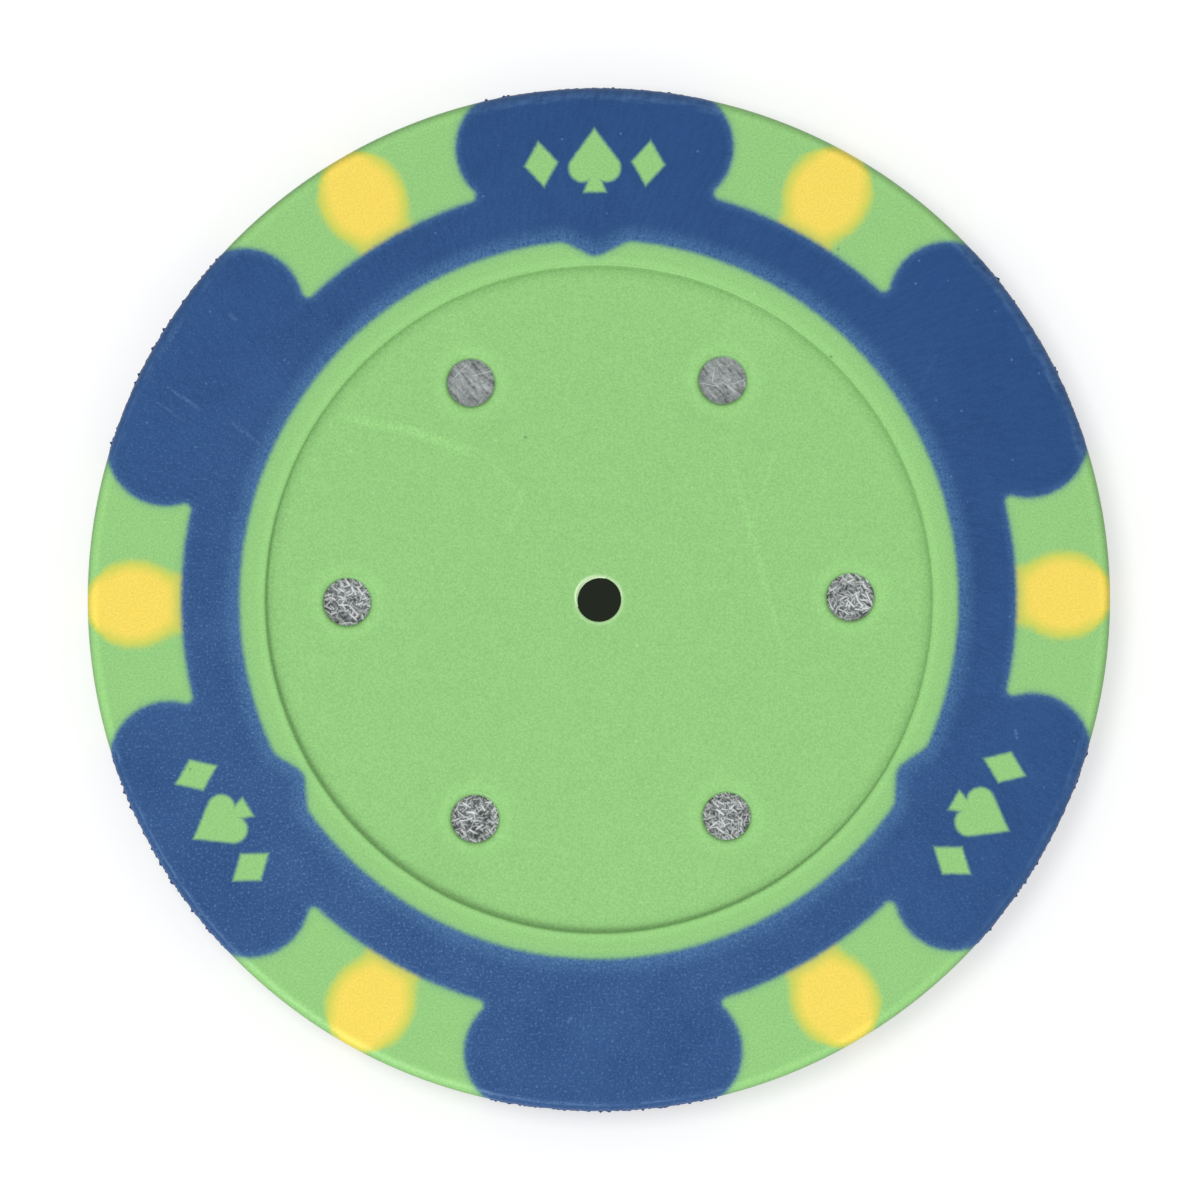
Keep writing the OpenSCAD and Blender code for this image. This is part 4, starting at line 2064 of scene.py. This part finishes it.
@dataclass(frozen=True)
class WeightSlug:
    """The steel slug, whose solid is right as it is."""

    node: str = "weight_slug"

    def dress(self, finish: bpy.types.Material) -> None:
        """Gives the solid its finish.

        Args:
            finish: The steel finish.
        """
        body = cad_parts[self.node]
        body.data.materials.clear()
        body.data.materials.append(finish)
        log.info("%s: dressed", self.node)


@dataclass(frozen=True)
class Lamp:
    """A round soft lamp that shines on the middle of the chip."""

    name: str
    azimuth: float
    elevation: float
    distance: float
    width: float
    level: float

    def build(self) -> bpy.types.Object:
        """Hangs the lamp.

        Returns:
            The lamp.
        """
        out = math.cos(self.elevation)
        x, y = out * math.cos(self.azimuth), out * math.sin(self.azimuth)
        towards = Vector((x, y, math.sin(self.elevation)))
        bpy.ops.object.light_add(type="AREA", location=towards * self.distance)
        lamp = bpy.context.object
        lamp.name = self.name
        lamp.rotation_euler = (-towards).to_track_quat("-Z", "Y").to_euler()
        lamp.data.shape = "DISK"
        lamp.data.size = self.width
        lamp.data.energy = self.level * math.pi**2 * self.distance**2 / math.sin(self.elevation)
        return lamp

    def keep_to(self, lamp: bpy.types.Object, thing: bpy.types.Object, state: str) -> None:
        """Limits what the lamp lights.

        Args:
            lamp: The lamp.
            thing: An object.
            state: INCLUDE to light that object alone, or EXCLUDE to light all but it.
        """
        group = bpy.data.collections.new(self.name + "_light")
        group.objects.link(thing)
        lamp.light_linking.receiver_collection = group
        group.collection_objects[0].light_linking.link_state = state


@dataclass(frozen=True)
class Studio:
    """White floor, soft light and a camera that looks straight down on the face."""

    view_width: float = 45.77 * MM
    camera_x: float = 0.042 * MM
    camera_y: float = -0.019 * MM
    camera_height: float = 0.2
    camera_roll: float = math.radians(-0.55)
    camera_range: Span = (0.01, 10)
    floor_size: float = 4.0
    floor_white: float = 0.93
    floor_glow: float = 0.52
    glow_level: float = 1.066
    floor_bounce: float = 0.45
    # A dark patch under the chip: painted shade that shows through the middle hole.
    shade_span: Span = (12.0, 15.0)
    shade: Tint = Tint(37, 42, 35)
    sky_low: float = 0.3
    sky_high: float = 0.96
    key: Lamp = Lamp("key_lamp", math.radians(243), math.radians(40), 0.5, 0.2, 0.26)
    floor_lamp: Lamp = Lamp("floor_lamp", math.radians(150), math.radians(79), 0.5, 0.15, 0.39)

    def camera(self) -> None:
        """Sets the camera over the chip."""
        bpy.ops.object.camera_add(
            location=(self.camera_x, self.camera_y, self.camera_height), rotation=(0, 0, self.camera_roll)
        )
        camera = bpy.context.object
        camera.name = "camera"
        camera.data.type = "ORTHO"
        camera.data.ortho_scale = self.view_width
        camera.data.clip_start, camera.data.clip_end = self.camera_range
        bpy.context.scene.camera = camera

    def floor(self) -> bpy.types.Object:
        """Lays the white floor, which keeps the chip's soft shadow and has a dark patch under the chip as
        painted shade.

        Returns:
            The floor.
        """
        bpy.ops.object.select_all(action="DESELECT")
        bpy.ops.mesh.primitive_plane_add(size=self.floor_size)
        floor = bpy.context.object
        floor.name = "floor"
        paint = Paint.material("floor_white")
        pattern = FacePattern(paint, ChipSizes.from_frame())
        # Painted shade: the floor under the chip is dark, so the middle hole looks shaded.
        clear = pattern.radius.rise(*self.shade_span)
        seen = paint.seen()
        colour = paint.mixed(seen, (self.floor_bounce,) * 3 + (1,), (self.floor_white,) * 3 + (1,))
        plain = paint.node("ShaderNodeBsdfDiffuse", None, {"Color": colour})
        bright = (self.glow_level,) * 3 + (1,)
        shaded = paint.mixed(clear, self.shade.linear(), bright)
        glow = paint.node("ShaderNodeEmission", None, {"Color": shaded})
        share = seen * (1.0 - clear * (1 - self.floor_glow))
        paint.surface(paint.node("ShaderNodeMixShader", None, {0: share, 1: plain, 2: glow}))
        floor.data.materials.append(paint.owner)
        return floor

    def light(self, floor: bpy.types.Object) -> None:
        """Lights the chip evenly, with a soft key lamp from the lower left and the floor's lamp from above.

        Args:
            floor: The floor.
        """
        world = bpy.data.worlds.new("studio")
        bpy.context.scene.world = world
        paint = Paint(world)
        towards = paint.node("ShaderNodeTexCoord", output="Generated")
        up = paint.node("ShaderNodeSeparateXYZ", None, {0: towards}).twin(2).most(0.0)
        level = (up * (self.sky_high - self.sky_low) + self.sky_low).most(paint.seen())
        paint.surface(paint.node("ShaderNodeBackground", None, {"Color": (1, 1, 1, 1), "Strength": level}))
        self.key.keep_to(self.key.build(), floor, "EXCLUDE")
        self.floor_lamp.keep_to(self.floor_lamp.build(), floor, "INCLUDE")


def main() -> None:
    """Builds the chip and its studio."""
    logging.basicConfig(level=logging.INFO, format="%(name)s: %(message)s")
    bpy.context.scene.view_settings.view_transform = "Standard"
    studio = Studio()
    studio.camera()
    studio.light(studio.floor())
    sizes = ChipSizes.from_frame()
    green = CoreGreen().material(sizes)
    blue = EdgeBlue().material(sizes)
    yellow = SpotYellow().material(sizes)
    zones = Zones(sizes)
    blank, ring, spot = Blank(sizes).build(), zones.ring(), zones.spot()
    CoreMoulding(sizes).build(blank, ring, spot, green)
    # The flash's finish is the blue darkened as painted shade.
    EdgeMoulding(sizes).build(blank, ring, blue, EdgeBlue(name="shaded_flash_blue", shade=0.75).material(sizes))
    RimPlugs(sizes).build(blank, ring, spot, yellow)
    BoreBurrs(sizes).build(CoreGreen(name="burr_green", bloom=0.8).material(sizes))
    WeightSlug().dress(SlugSteel().material())
    for tool in (blank, ring, spot):
        tool.discard()


if __name__ == "__main__":
    main()
